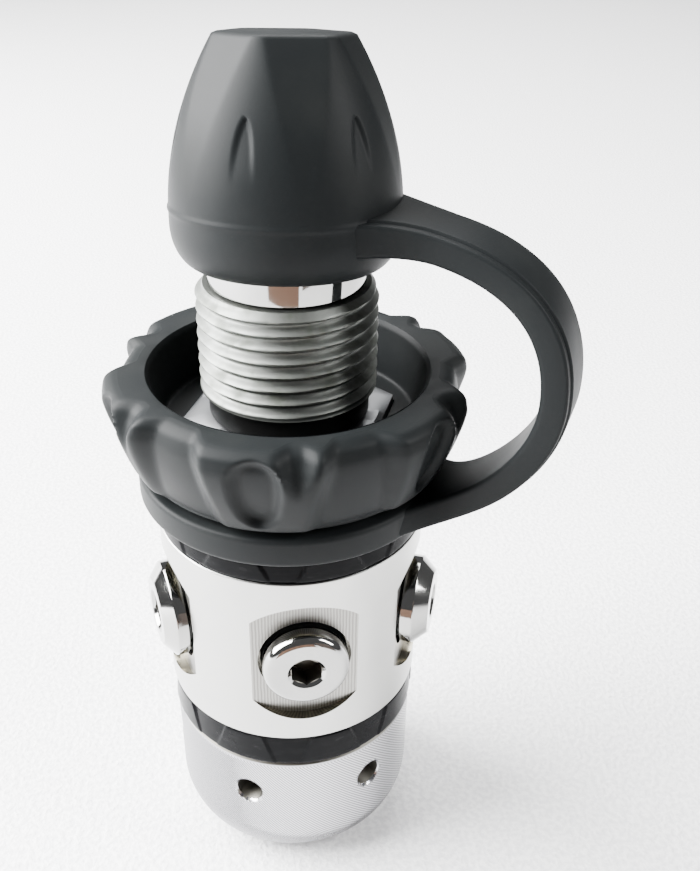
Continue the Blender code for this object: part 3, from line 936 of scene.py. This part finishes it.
@dataclass
class Barrel:
    """The plated body: barrel, band seats, neck and spigot, with its five milled port faces."""

    finishes: Finishes
    seat: float = 16.0 * MM
    neck: float = 14.5 * MM
    neck_low: float = 60.15 * MM
    barrel_low: float = 28.5 * MM
    barrel_top: float = 56.1 * MM
    spigot: float = 14.6 * MM
    spigot_top: float = 23.25 * MM
    spring_bore: float = 11.5 * MM
    spring_bore_top: float = 34.0 * MM
    inlet_bore: float = 9.2 * MM
    port_z: float = 42.3 * MM
    face_radius: float = 9.95 * MM
    face_at: float = 16.97 * MM
    well_at: float = 15.47 * MM
    well_gap: float = 0.5 * MM
    port_depth: float = 12.0 * MM
    steps: int = 360

    def build(self, plugs: Sequence[PortPlug]) -> None:
        """Turns the body and mills a face, a well and a bore for each plug.

        Args:
            plugs: the port plugs, which say where the ports are.
        """
        extent = Extent.of("body")
        edge = 0.25 * MM
        profile = rounded(
            [
                (self.neck, extent.top, edge),
                (self.neck, self.neck_low, 0),
                (self.seat, self.neck_low, edge),
                (self.seat, self.barrel_top, 0),
                (extent.radius, self.barrel_top, edge),
                (extent.radius, self.barrel_low, edge),
                (self.seat, self.barrel_low, 0),
                (self.seat, self.spigot_top, edge),
                (self.spigot, self.spigot_top, 0),
                (self.spigot, extent.low, edge),
                (self.spring_bore, extent.low, 0),
                (self.spring_bore, self.spring_bore_top, 0),
                (self.inlet_bore, self.spring_bore_top, 0),
                (self.inlet_bore, extent.top, 0),
            ]
        )
        body = turned("plated_body", subdivided(profile, 1 * MM), self.steps)
        tools = []
        for plug in plugs:
            outside = extent.radius + 3 * MM
            well = plug.head_radius + self.well_gap
            bore = plug.thread_radius + 0.2 * MM
            tool = turned(
                f"{plug.node}_mill",
                [
                    (0.0, outside),
                    (self.face_radius, outside),
                    (self.face_radius, self.face_at),
                    (well, self.face_at),
                    (well, self.well_at),
                    (bore, self.well_at),
                    (bore, self.port_depth),
                    (0.0, self.port_depth),
                ],
                144,
            )
            tool.data.transform(facing_out(plug.azimuth, self.port_z))
            tools.append(tool)
        carve(body, tools, 20)
        centre = Vector((0, 0, self.port_z))
        ports = [(facing_out(plug.azimuth, 0).col[2].xyz, plug.head_radius) for plug in plugs]

        def region(middle: Vector, normal: Vector) -> str:
            """The part of a port that a face belongs to, which is empty on the plain body."""
            for facing, _ in ports:
                sunk = self.face_at - middle.dot(facing)
                if normal.dot(facing) > 0.999 and abs(sunk) < 0.1 * MM:
                    return "milled"
            # Faces in a plug's well or bore are marked for painted shade.
            for facing, head in ports:
                along = middle.dot(facing)
                aside = (middle - centre - facing * along).length
                if along > 0 and aside < head + self.well_gap + 0.05 * MM:
                    return "bored"
            deep = math.hypot(middle.x, middle.y) < extent.radius - 0.03 * MM
            on_barrel = self.barrel_low + 0.4 * MM < middle.z < self.barrel_top - 0.4 * MM
            return "walled" if deep and on_barrel else ""

        for name in ("milled", "bored", "walled"):
            mark_faces(body, name, lambda middle, normal, name=name: region(middle, normal) == name)
        place(body, "first_stage", "pearl_chrome", self.finishes.barrel, "body")


@dataclass
class PortPlug:
    """A polished screw plug with a hexagon socket and a domed or coned head."""

    node: str
    azimuth: float
    finishes: Finishes
    thread_radius: float = 4.7 * MM
    head_radius: float = 5.8 * MM
    face_radius: float = 4.0 * MM
    face_at: float = 20.0 * MM
    bevel: float = 1.6 * MM
    domed: bool = True
    socket: float = 4.0 * MM
    socket_depth: float = 3.0 * MM
    under_head: float = 17.22 * MM
    shank_end: float = 11.2 * MM
    port_z: float = 42.3 * MM

    def build(self) -> None:
        """Turns the plug, chamfers and cuts its socket, and stands it in its port."""
        edge = 0.15 * MM
        shoulder = self.face_at - self.bevel
        if self.domed:
            rim = (self.head_radius, self.face_at, self.bevel)
            shoulder -= 0.2 * MM
        else:
            rim = (self.face_radius, self.face_at, edge)
        crown = rounded(
            [
                (self.face_radius - 1 * MM, self.face_at, 0),
                rim,
                (self.head_radius, shoulder, edge),
                (self.head_radius, self.under_head, edge),
                (self.thread_radius, self.under_head, 0),
                (self.thread_radius, self.shank_end, 0.4 * MM),
                (1 * MM, self.shank_end, 0),
            ],
            8,
        )
        plug = turned(
            f"{self.node}_polished", [(0.0, self.face_at), *crown, (0.0, self.shank_end)], 96
        )
        floor = self.face_at - self.socket_depth
        key = hex_prism("key_tool", self.socket, floor, self.face_at + MM)
        mouth = self.socket / 2 / math.cos(math.pi / 6)
        above, below = self.face_at + 0.5 * MM, self.face_at - 0.45 * MM
        cone = [(0.0, above), (mouth + 0.75 * MM, above), (mouth - 0.2 * MM, below), (0.0, below)]
        carve(plug, [key, turned("sink_tool", cone, 96)], 25)

        def bored(middle: Vector, _: Vector) -> bool:
            """Whether a face is inside the socket, where the finish paints shade."""
            return floor - 0.1 * MM < middle.z < below and math.hypot(middle.x, middle.y) < mouth

        mark_faces(plug, "bored", bored)
        plug.data.transform(facing_out(self.azimuth, self.port_z))
        place(plug, "first_stage", "polished_chrome", self.finishes.polish, self.node)


@dataclass
class Coupling:
    """The threaded coupling with its hexagon flange, and the black collar in its relief: a guessed
    rubber seal that also stands in as a painted reflection of the grip's dark hollow.
    """

    finishes: Finishes
    bore: float = 7.4 * MM
    thread: float = 11.456 * MM
    pitch: float = 1.814 * MM
    thread_depth: float = 0.95 * MM
    thread_low: float = 75.6 * MM
    relief: float = 9.6 * MM
    across_flats: float = 25.0 * MM
    hex_turn: float = 8.0
    flange_top: float = 71.8 * MM
    lead_in: float = 1.0 * MM
    steps: int = 180

    def threaded(self, azimuth: float, height: float, top: float) -> float:
        """The thread's radius at a point, with its groove faded out at both ends."""
        turn = (height / self.pitch - azimuth / 360) % 1
        groove = (0.5 - 0.5 * math.cos(2 * math.pi * turn)) ** 0.8
        inside = smooth_step(height, self.thread_low - 0.2 * MM, self.thread_low + 1 * MM)
        limit = self.thread - max(0.0, height - (top - self.lead_in))
        return min(self.thread - self.thread_depth * groove * inside, limit)

    def build(self) -> None:
        """Makes the threaded tube, its flange and the collar."""
        extent = Extent.of("coupling_screw")
        rows = math.ceil((extent.top - self.thread_low) / (0.14 * MM))
        run = (extent.top - self.thread_low) / rows
        thread = [(self.thread, extent.top - run * row) for row in range(rows + 1)]
        tube = [*thread, (self.relief, self.thread_low - 0.5 * MM), (self.relief, self.flange_top)]
        flange_side = self.flange_top - 0.6 * MM
        corner = self.across_flats / 2 / math.cos(math.pi / 6)
        flange = [
            (self.across_flats / 2 - 0.6 * MM, self.flange_top),
            (corner, flange_side),
            (corner, extent.low + 0.4 * MM),
            (corner - 0.4 * MM, extent.low),
            (self.bore, extent.low),
            (self.bore, extent.top),
        ]
        threads_end = self.thread_low - 0.01 * MM

        def shape(azimuth: float, radius: float, height: float) -> tuple[float, float]:
            """Threads the tube and gives the flange its six flats."""
            if height > threads_end and radius > self.relief:
                return self.threaded(azimuth, height, extent.top), height
            if height <= self.flange_top and radius > self.relief:
                lean = math.radians(offset_from(azimuth, self.hex_turn, 60))
                return min(radius, self.across_flats / 2 / math.cos(lean)), height
            return radius, height

        screw = turned("threaded_coupling", tube + flange, self.steps, shape, 40)
        place(screw, "handwheel", "thread_metal", self.finishes.thread, "coupling_screw")
        screw.data.materials.append(self.finishes.flange)
        for face in screw.data.polygons:
            face.material_index = int(face.center.z < self.flange_top + 0.01 * MM)
        # The black collar is partly a guessed rubber seal and partly a painted reflection of the
        # grip's dark hollow in the chrome relief.
        extent = Extent.of("coupling_collar")
        inside = self.relief + 0.25 * MM
        outline = rounded(
            [
                (inside, extent.top, 0.1 * MM),
                (extent.radius, extent.top, 0.3 * MM),
                (extent.radius, extent.low, 0.1 * MM),
                (inside, extent.low, 0),
            ]
        )
        collar = turned("relief_collar", outline, 120)
        place(collar, "handwheel", "black_rubber", self.finishes.seal, "coupling_collar")


@dataclass
class DinStem:
    """The polished stem with its nose, seal groove and hexagon socket."""

    finishes: Finishes
    stem: float = 7.0 * MM
    nose_low: float = 89.9 * MM
    groove_in: float = 4.6 * MM
    groove_out: float = 7.4 * MM
    groove_floor: float = 93.2 * MM
    flow: float = 2.0 * MM
    pocket: float = 5.0 * MM
    pocket_top: float = 61.2 * MM
    socket: float = 6.0 * MM
    socket_floor: float = 90.5 * MM

    def build(self) -> None:
        """Turns the stem and cuts its socket."""
        extent = Extent.of("din_stem")
        edge = 0.12 * MM
        profile = rounded(
            [
                (extent.radius, extent.top, 0.45 * MM),
                (extent.radius, self.nose_low, edge),
                (self.stem, self.nose_low, 0),
                (self.stem, extent.low, edge),
                (self.pocket, extent.low, edge),
                (self.pocket, self.pocket_top, 0),
                (self.flow, self.pocket_top + 1.4 * MM, 0),
                (self.flow, extent.top, 0),
                (self.groove_in, extent.top, edge),
                (self.groove_in, self.groove_floor, 0),
                (self.groove_out, self.groove_floor, 0),
                (self.groove_out, extent.top, edge),
            ]
        )
        stem = turned("polished_stem", profile, 160)
        carve(stem, [hex_prism("nose_key", self.socket, self.socket_floor, extent.top + MM)])
        place(stem, "first_stage", "polished_chrome", self.finishes.polish, "din_stem")


@dataclass
class HandwheelGrip:
    """The black rubber handwheel: a flared cup with six raised pads, each notched and dimpled."""

    finishes: Finishes
    units: int = 6
    notch_azimuth: float = -5.5
    inner: float = 17.95 * MM
    crown: float = 23.9 * MM
    floor: float = 70.3 * MM
    hexagon: float = 25.5 * MM
    hex_turn: float = 8.0
    recess_middle: float = 22.5
    recess_depth: float = 2.2 * MM
    notch_depth: float = 1.8 * MM
    notch_lean: float = 3.0
    dimple_at: float = -9.0
    dimple_half: float = 8.5
    dimple_depth: float = 1.2 * MM
    steps: int = 360

    def depth(self, azimuth: float, rise: float) -> float:
        """How far the outside is drawn in from a pad's crown.

        Args:
            azimuth: the point's azimuth.
            rise: its height, from 0 at the foot to 1 at the rim.

        Returns:
            The depth in metres.
        """
        pitch = 360 / self.units
        offset = offset_from(azimuth, self.notch_azimuth, pitch)
        reach = abs(offset_from(offset, self.recess_middle, pitch))
        half = 14.5 - 4.5 * rise
        recess = 1 - smooth_step(reach, half - 4.2, half + 3.4)
        recess *= self.recess_depth * (0.4 + 0.6 * rise)
        width = 1.0 + 7.0 * max(0.0, rise - 0.5) / 0.5
        notch = 1 - smooth_step(abs(offset - self.notch_lean), width * 0.15, width)
        notch *= self.notch_depth * smooth_step(rise, 0.5, 0.95)
        narrow = 0.62 + 0.38 * smooth_step(rise, 0.0, 0.55)
        across = (offset - self.dimple_at) / (self.dimple_half * narrow)
        along = max(0.0, rise - 0.7) / 0.28 + max(0.0, 0.3 - rise) / 0.22
        bowl = max(0.0, 1 - across * across - along * along)
        return recess + max(notch, self.dimple_depth * smooth_step(bowl, 0, 0.75))

    def build(self) -> None:
        """Makes the cup and sets its hexagon hole."""
        extent = Extent.of("handwheel_grip")
        low, top = extent.low, extent.top
        height = top - low
        outer = [
            (self.crown - 2.2 * MM, top),
            (self.crown - 1.3 * MM, top - 0.2 * MM),
            (self.crown - 0.45 * MM, top - 0.8 * MM),
            (self.crown - 0.1 * MM, top - 1.7 * MM),
            (self.crown, top - 3.0 * MM),
            (self.crown - 0.6 * MM, top - 5.6 * MM),
            (self.crown - 1.6 * MM, low + 3.9 * MM),
            (self.crown - 2.6 * MM, low + 1.5 * MM),
            (self.crown - 3.3 * MM, low + 0.35 * MM),
            (self.crown - 4.2 * MM, low),
        ]
        hole = self.hexagon / 2 / math.cos(math.pi / 6)
        inner = rounded(
            [
                (hole, low, 0),
                (hole, self.floor, 0),
                (self.inner - 1.1 * MM, self.floor, 0.6 * MM),
                (self.inner, top - 0.8 * MM, 0.3 * MM),
                (self.inner + 0.5 * MM, top - 0.1 * MM, 0.2 * MM),
            ]
        )
        outside = self.crown - 4.3 * MM

        def shape(azimuth: float, radius: float, up: float) -> tuple[float, float]:
            """Gives the outside its pads and the hole its six sides."""
            if radius > outside:
                rise = (up - low) / height
                fade = smooth_step(radius, outside, outside + 1.2 * MM)
                return radius - self.depth(azimuth, rise) * fade, up
            if abs(radius - hole) < 0.01 * MM:
                lean = math.radians(offset_from(azimuth, self.hex_turn, 60))
                return self.hexagon / 2 / math.cos(lean), up
            return radius, up

        grip = turned("moulded_grip", flowing(outer) + inner, self.steps, shape, 60)
        place(grip, "handwheel", "black_rubber", self.finishes.rubber, "handwheel_grip")


@dataclass
class Tether:
    """The rubber ring round the neck and the bent strap up to the dust cap."""

    finishes: Finishes
    azimuth: float = 60.7
    ring_inner: float = 14.8 * MM
    width: float = 9.0 * MM
    thick: float = 3.6 * MM
    ring_flare: float = 5.2 * MM
    cap_flare: float = 3.2 * MM
    samples: int = 40
    rib_inset: float = 1.1 * MM
    rib_step: float = 0.3 * MM

    def centreline(self) -> list[Vector]:
        """The strap's middle as (distance from the axis, height), from the cap to the ring."""
        crown = Vector((35.1, 81.3)) * MM
        runs = (
            ((11.3, 98.3), (28.0, 98.6), (35.1, 91.8), None),
            (None, (35.1, 72.8), (27.3, 64.0), (18.6, 62.45)),
        )
        line: list[Vector] = []
        for run in runs:
            points = [crown if point is None else Vector(point) * MM for point in run]
            for step in range(self.samples + 1):
                share = step / self.samples
                level = points
                while len(level) > 1:
                    level = [a.lerp(b, share) for a, b in zip(level, level[1:])]
                if not line or (level[0] - line[-1]).length > 0.01 * MM:
                    line.append(level[0])
        return line

    def section(self, half: float, thick: float) -> list[tuple[float, float]]:
        """The strap's outline across its run, with a raised rib down its outer face.

        Args:
            half: half of its width.
            thick: its thickness.

        Returns:
            (across, outwards) points.
        """
        face = thick / 2
        rib = half - self.rib_inset
        corner = 0.7 * MM
        return rounded(
            [
                (-half, -face, corner),
                (half, -face, corner),
                (half, face - self.rib_step, corner * 0.6),
                (rib, face - self.rib_step, 0),
                (rib - 0.25 * MM, face, 0.12 * MM),
                (-rib + 0.25 * MM, face, 0.12 * MM),
                (-rib, face - self.rib_step, 0),
                (-half, face - self.rib_step, corner * 0.6),
            ]
        )

    def build_ring(self) -> None:
        """Makes the ring."""
        extent = Extent.of("strap_ring")
        profile = rounded(
            [
                (self.ring_inner, extent.top, 0.3 * MM),
                (extent.radius, extent.top, 0.8 * MM),
                (extent.radius, extent.low, 0.8 * MM),
                (self.ring_inner, extent.low, 0.3 * MM),
            ],
            6,
        )
        ring = turned("tether_ring", profile, 240)
        place(ring, "strap_set", "black_rubber", self.finishes.rubber, "strap_ring")

    def build_strap(self) -> None:
        """Makes the strap, flared where it grows out of the ring and into the dust cap."""
        line = self.centreline()
        turn = math.radians(self.azimuth)
        outwards = Vector((math.sin(turn), -math.cos(turn), 0))
        across = Vector((math.cos(turn), math.sin(turn), 0))
        vertices: list[Vector] = []
        size = 0
        for index, point in enumerate(line):
            before = line[max(index - 1, 0)]
            after = line[min(index + 1, len(line) - 1)]
            run = (after - before).normalized()
            normal = Vector((-run.y, run.x))
            half, thick = self.width / 2, self.thick
            if index > len(line) / 2:
                half += self.ring_flare * (max(0.0, 28 * MM - point.x) / (10.6 * MM)) ** 2.65
            else:
                near = max(0.0, 20 * MM - point.x) / (10 * MM)
                half += self.cap_flare * near**1.85
                thick += 0.9 * MM * near
            ring = self.section(half, thick)
            size = len(ring)
            for side, out in ring:
                flat = point + normal * out
                vertices.append(outwards * flat.x + across * side + Vector((0, 0, flat.y)))
        faces: list[tuple[int, ...]] = []
        for row in range(len(line) - 1):
            for step in range(size):
                beside = (step + 1) % size
                here, below = row * size, (row + 1) * size
                faces.append((here + step, here + beside, below + beside, below + step))
        last = (len(line) - 1) * size
        faces.append(tuple(reversed(range(size))))
        faces.append(tuple(range(last, last + size)))
        strap = link_mesh("tether_strap", vertices, faces, 40)
        self.point_out(strap)
        strap.data.materials.append(self.finishes.rubber)
        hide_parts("strap")
        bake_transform(strap)
        LOG.info("%s: %d faces between strap_set and cap_set", strap.name, len(strap.data.polygons))

    def point_out(self, obj: bpy.types.Object) -> None:
        """Turns a closed mesh's faces outwards if its volume comes out negative."""
        if sum(face.center.dot(face.normal) * face.area for face in obj.data.polygons) < 0:
            obj.data.flip_normals()

    def build(self) -> None:
        """Makes both pieces."""
        self.build_ring()
        self.build_strap()


@dataclass
class DustCap:
    """The bullet shaped rubber cap, leaning a little on the inlet's nose."""

    finishes: Finishes
    pivot_z: float = 92.0 * MM
    tilt: float = 6.46
    tilt_azimuth: float = 171.1
    bead_z: float = 6.74 * MM
    radius: float = 13.95 * MM
    top: float = 19.2 * MM
    lip: float = 7.0 * MM
    lip_radius: float = 10.6 * MM
    straight: float = 1.8 * MM
    flutes: int = 6
    flute_azimuth: float = 4.7
    flute_depth: float = 0.78 * MM
    arch_top: float = 11.2 * MM
    arch_half: float = 1.5 * MM
    arch_depth: float = 0.34 * MM
    steps: int = 360

    def outline(self, height: float) -> float:
        """The plain outer radius at a height above the bead."""
        if height > 0:
            above = height / MM
            return self.radius - (0.021 * above + 0.0148 * above * above) * MM
        drop = max(-height - self.straight, 0.0) / (self.lip - self.straight)
        return self.lip_radius + (self.radius - self.lip_radius) * math.sqrt(1 - drop * drop)

    def relief(self, azimuth: float, height: float) -> float:
        """The moulded radius at an azimuth and a height above the bead."""
        plain = self.outline(height)
        pitch = 360 / self.flutes
        offset = offset_from(azimuth, self.flute_azimuth, pitch)
        rise = max(0.0, (height - 2 * MM) / (self.top - 2 * MM))
        flat = plain - self.flute_depth * rise**1.8
        sunk = plain - flat / math.cos(math.radians(offset))
        soft = 0.16 * MM * rise
        fluted = plain - (sunk + math.hypot(sunk, soft)) / 2
        arch = offset_from(azimuth, self.flute_azimuth + pitch / 2, pitch)
        across = abs(math.radians(arch)) * plain
        share = max(0.0, height / self.arch_top)
        reach = self.arch_half * math.sqrt(max(0.0, 1 - share**3))
        inside = 1 - smooth_step(across, max(reach - 0.5 * MM, 0.01 * MM), reach + 0.1 * MM)
        fade = smooth_step(height, 4.0 * MM, 10.0 * MM) * (height < self.arch_top)
        bead = 0.16 * MM * math.exp(-((height / (0.28 * MM)) ** 2))
        return fluted - self.arch_depth * inside * fade + bead

    def build(self) -> None:
        """Makes the cap and leans it."""
        rows = 110
        heights = [self.top - (self.top + self.lip) * row / rows for row in range(rows)]
        crown = [(0.0, self.top), (self.outline(self.top) - 0.5 * MM, self.top)]
        outer = [(self.outline(z), z) for z in heights if z < self.top - 0.15 * MM]
        cavity = [
            (self.lip_radius + 0.2 * MM, -self.lip + 0.02 * MM),
            (self.lip_radius, -self.lip + 0.3 * MM),
            (11.0 * MM, -5.0 * MM),
            (11.0 * MM, 4.0 * MM),
            (8.2 * MM, 13.0 * MM),
            (6.6 * MM, 14.6 * MM),
            (0.0, 14.6 * MM),
        ]
        edges = {round(point[1], 7) for point in outer}

        def shape(azimuth: float, radius: float, height: float) -> tuple[float, float]:
            """Moulds the outside and leaves the hollow plain."""
            if round(height, 7) in edges and abs(radius - self.outline(height)) < 0.01 * MM:
                return self.relief(azimuth, height), height
            if height == self.top and radius > 0:
                return self.relief(azimuth, height) - 0.45 * MM, height
            return radius, height

        cap = turned("moulded_dust_cap", crown + outer + cavity, self.steps, shape, 40)
        lean = Matrix.Rotation(math.radians(self.tilt_azimuth), 4, "Z")
        tilt = lean @ Matrix.Rotation(math.radians(self.tilt), 4, "X") @ lean.inverted()
        lift = Matrix.Translation((0, 0, self.bead_z))
        cap.data.transform(Matrix.Translation((0, 0, self.pivot_z)) @ tilt @ lift)
        place(cap, "cap_set", "black_rubber", self.finishes.rubber, "dust_cap")


@dataclass
class Internals:
    """Dresses the nodes that keep the frame's own shapes."""

    finishes: Finishes

    def build(self, frame: dict) -> None:
        """Gives each node its material.
        """
        kinds = {
            self.finishes.brass: ("piston", "inlet_filter"),
            self.finishes.steel: ("main_spring", "spring_washer", "orifice", "filter_clip"),
            self.finishes.seat: ("high_pressure_seat", "thrust_washer"),
            self.finishes.seal: tuple(name for name in frame["nodes"] if name.endswith("_oring")),
        }
        for material, names in kinds.items():
            for name in names:
                mesh = frame["nodes"][name].data
                mesh.materials.clear()
                mesh.materials.append(material)


# Surroundings ----------------------------------------------------------------------------------


@dataclass(frozen=True)
class Softbox:
    """A rectangular lamp that faces a target."""

    name: str
    place: tuple[float, float, float]
    size: tuple[float, float]
    power: float
    target: tuple[float, float, float] = (0.0, 0.0, 0.07)

    def light(self) -> None:
        """Hangs the lamp."""
        lamp = bpy.data.lights.new(self.name, "AREA")
        lamp.shape = "RECTANGLE"
        lamp.size, lamp.size_y = self.size
        lamp.energy = self.power
        obj = bpy.data.objects.new(self.name, lamp)
        bpy.context.scene.collection.objects.link(obj)
        obj.location = self.place
        aim = Vector(self.target) - Vector(self.place)
        obj.rotation_euler = aim.to_track_quat("-Z", "Y").to_euler()


@dataclass(frozen=True)
class Card:
    """A dark upright card in front of the object, which only shows as a painted reflection in its
    metal, standing in for the dark surroundings and the shade in front.
    """

    name: str
    across: tuple[float, float]
    front: float
    up: tuple[float, float]
    colour: Colour = (0.06, 0.045, 0.038)

    def hang(self) -> None:
        """Hangs the card where it casts no shadow and no view sees it."""
        (left, right), (low, high) = self.across, self.up
        corners = [(left, low), (left, high), (right, high), (right, low)]
        points = [(across, self.front, height) for across, height in corners]
        card = link_mesh(self.name, points, [(0, 1, 2, 3)])
        skin = Skin(f"{self.name}_shade_stand_in")
        fibre = skin.noise(4 * MM, 2)
        darker = tuple(0.6 * part for part in self.colour)
        skin.set(base_color=skin.mix(fibre, self.colour, darker), roughness=0.9)
        card.data.materials.append(skin.material)
        card.visible_camera = False
        card.visible_shadow = False


@dataclass
class Studio:
    """The sheet, the light and the camera."""

    eye: tuple[float, float, float] = (-8.63 * MM, -114.8 * MM, 136.94 * MM)
    yaw: float = 8.34
    pitch: float = 31.33
    roll: float = 1.08
    lens: float = 41.08
    sheet: float = 8.0
    room: Colour = (0.2, 0.2, 0.205)

    def camera(self) -> None:
        """Sets the camera, close above the front and looking down."""
        data = bpy.data.cameras.new("viewpoint")
        data.lens = self.lens
        data.clip_start = 0.005
        obj = bpy.data.objects.new("viewpoint", data)
        bpy.context.scene.collection.objects.link(obj)
        yaw, pitch, roll = (math.radians(a) for a in (self.yaw, self.pitch, self.roll))
        forward = Vector(
            (math.sin(yaw) * math.cos(pitch), math.cos(yaw) * math.cos(pitch), -math.sin(pitch))
        )
        level = forward.cross(Vector((0, 0, 1))).normalized()
        upright = level.cross(forward)
        right = level * math.cos(roll) + upright * math.sin(roll)
        up = upright * math.cos(roll) - level * math.sin(roll)
        turn = Matrix((right, up, -forward)).transposed().to_4x4()
        obj.matrix_world = Matrix.Translation(self.eye) @ turn
        bpy.context.scene.camera = obj

    def floor(self) -> None:
        """Lays the sheet."""
        half = self.sheet / 2
        corners = [(-half, -half, 0), (half, -half, 0), (half, half, 0), (-half, half, 0)]
        sheet = link_mesh("sheet", corners, [(0, 1, 2, 3)])
        sheet.data.materials.append(ClothFinish().material())

    def world(self) -> None:
        """Fills the room with soft grey light."""
        world = bpy.data.worlds.new("room")
        bpy.context.scene.world = world
        world.use_nodes = True
        world.node_tree.nodes["Background"].inputs["Color"].default_value = (*self.room, 1)
        world.node_tree.nodes["Background"].inputs["Strength"].default_value = 1.0

    def build(self) -> None:
        """Sets everything round the object."""
        self.camera()
        self.floor()
        self.world()
        Softbox("window_left", (-0.55, 0.12, 0.46), (0.7, 0.7), 85.0).light()
        Softbox("ceiling", (0.0, 0.9, 1.1), (1.2, 0.8), 36.0, (0.0, 0.8, 0.0)).light()
        Softbox("window_right", (0.4, -0.16, 0.34), (0.12, 0.3), 4.0).light()
        # Painted reflection: the brown card stands in for the brown table edge and the
        # photographer's shade in front, the dark card for the shaded floor at the front right.
        Card("brown_card", (-0.09, 0.03), -0.15, (0.0, 0.06), (0.13, 0.07, 0.045)).hang()
        Card("dark_card", (0.06, 0.2), -0.21, (0.0, 0.12)).hang()


def make_plugs(finishes: Finishes) -> list[PortPlug]:
    """The five port plugs.

    Args:
        finishes: the object's materials.

    Returns:
        The plugs, not yet built.
    """
    return [
        PortPlug("front_low_pressure_plug", 0.5, finishes),
        PortPlug(
            "right_low_pressure_plug",
            68.7,
            finishes,
            head_radius=6.3 * MM,
            face_radius=4.5 * MM,
            face_at=20.95 * MM,
            bevel=2.0 * MM,
            domed=False,
        ),
        PortPlug("rear_right_low_pressure_plug", 144.0, finishes),
        PortPlug("rear_left_low_pressure_plug", -144.0, finishes),
        PortPlug(
            "left_high_pressure_plug",
            -75.5,
            finishes,
            thread_radius=5.5 * MM,
            head_radius=6.8 * MM,
            face_radius=4.8 * MM,
            face_at=20.4 * MM,
            bevel=1.6 * MM,
            domed=False,
            socket=5.0 * MM,
        ),
    ]


def main() -> None:
    """Builds the object round its frame."""
    logging.basicConfig(level=logging.INFO, format="%(name)s: %(message)s")
    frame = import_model()
    Studio().build()
    finishes = Finishes()
    plugs = make_plugs(finishes)
    EndCap(finishes).build()
    Barrel(finishes).build(plugs)
    for plug in plugs:
        plug.build()
    TrimBand("lower_trim_band", finishes).build()
    TrimBand("upper_trim_band", finishes).build()
    Coupling(finishes).build()
    DinStem(finishes).build()
    HandwheelGrip(finishes).build()
    Tether(finishes).build()
    DustCap(finishes).build()
    Internals(finishes).build(frame)


if __name__ == "__main__":
    main()
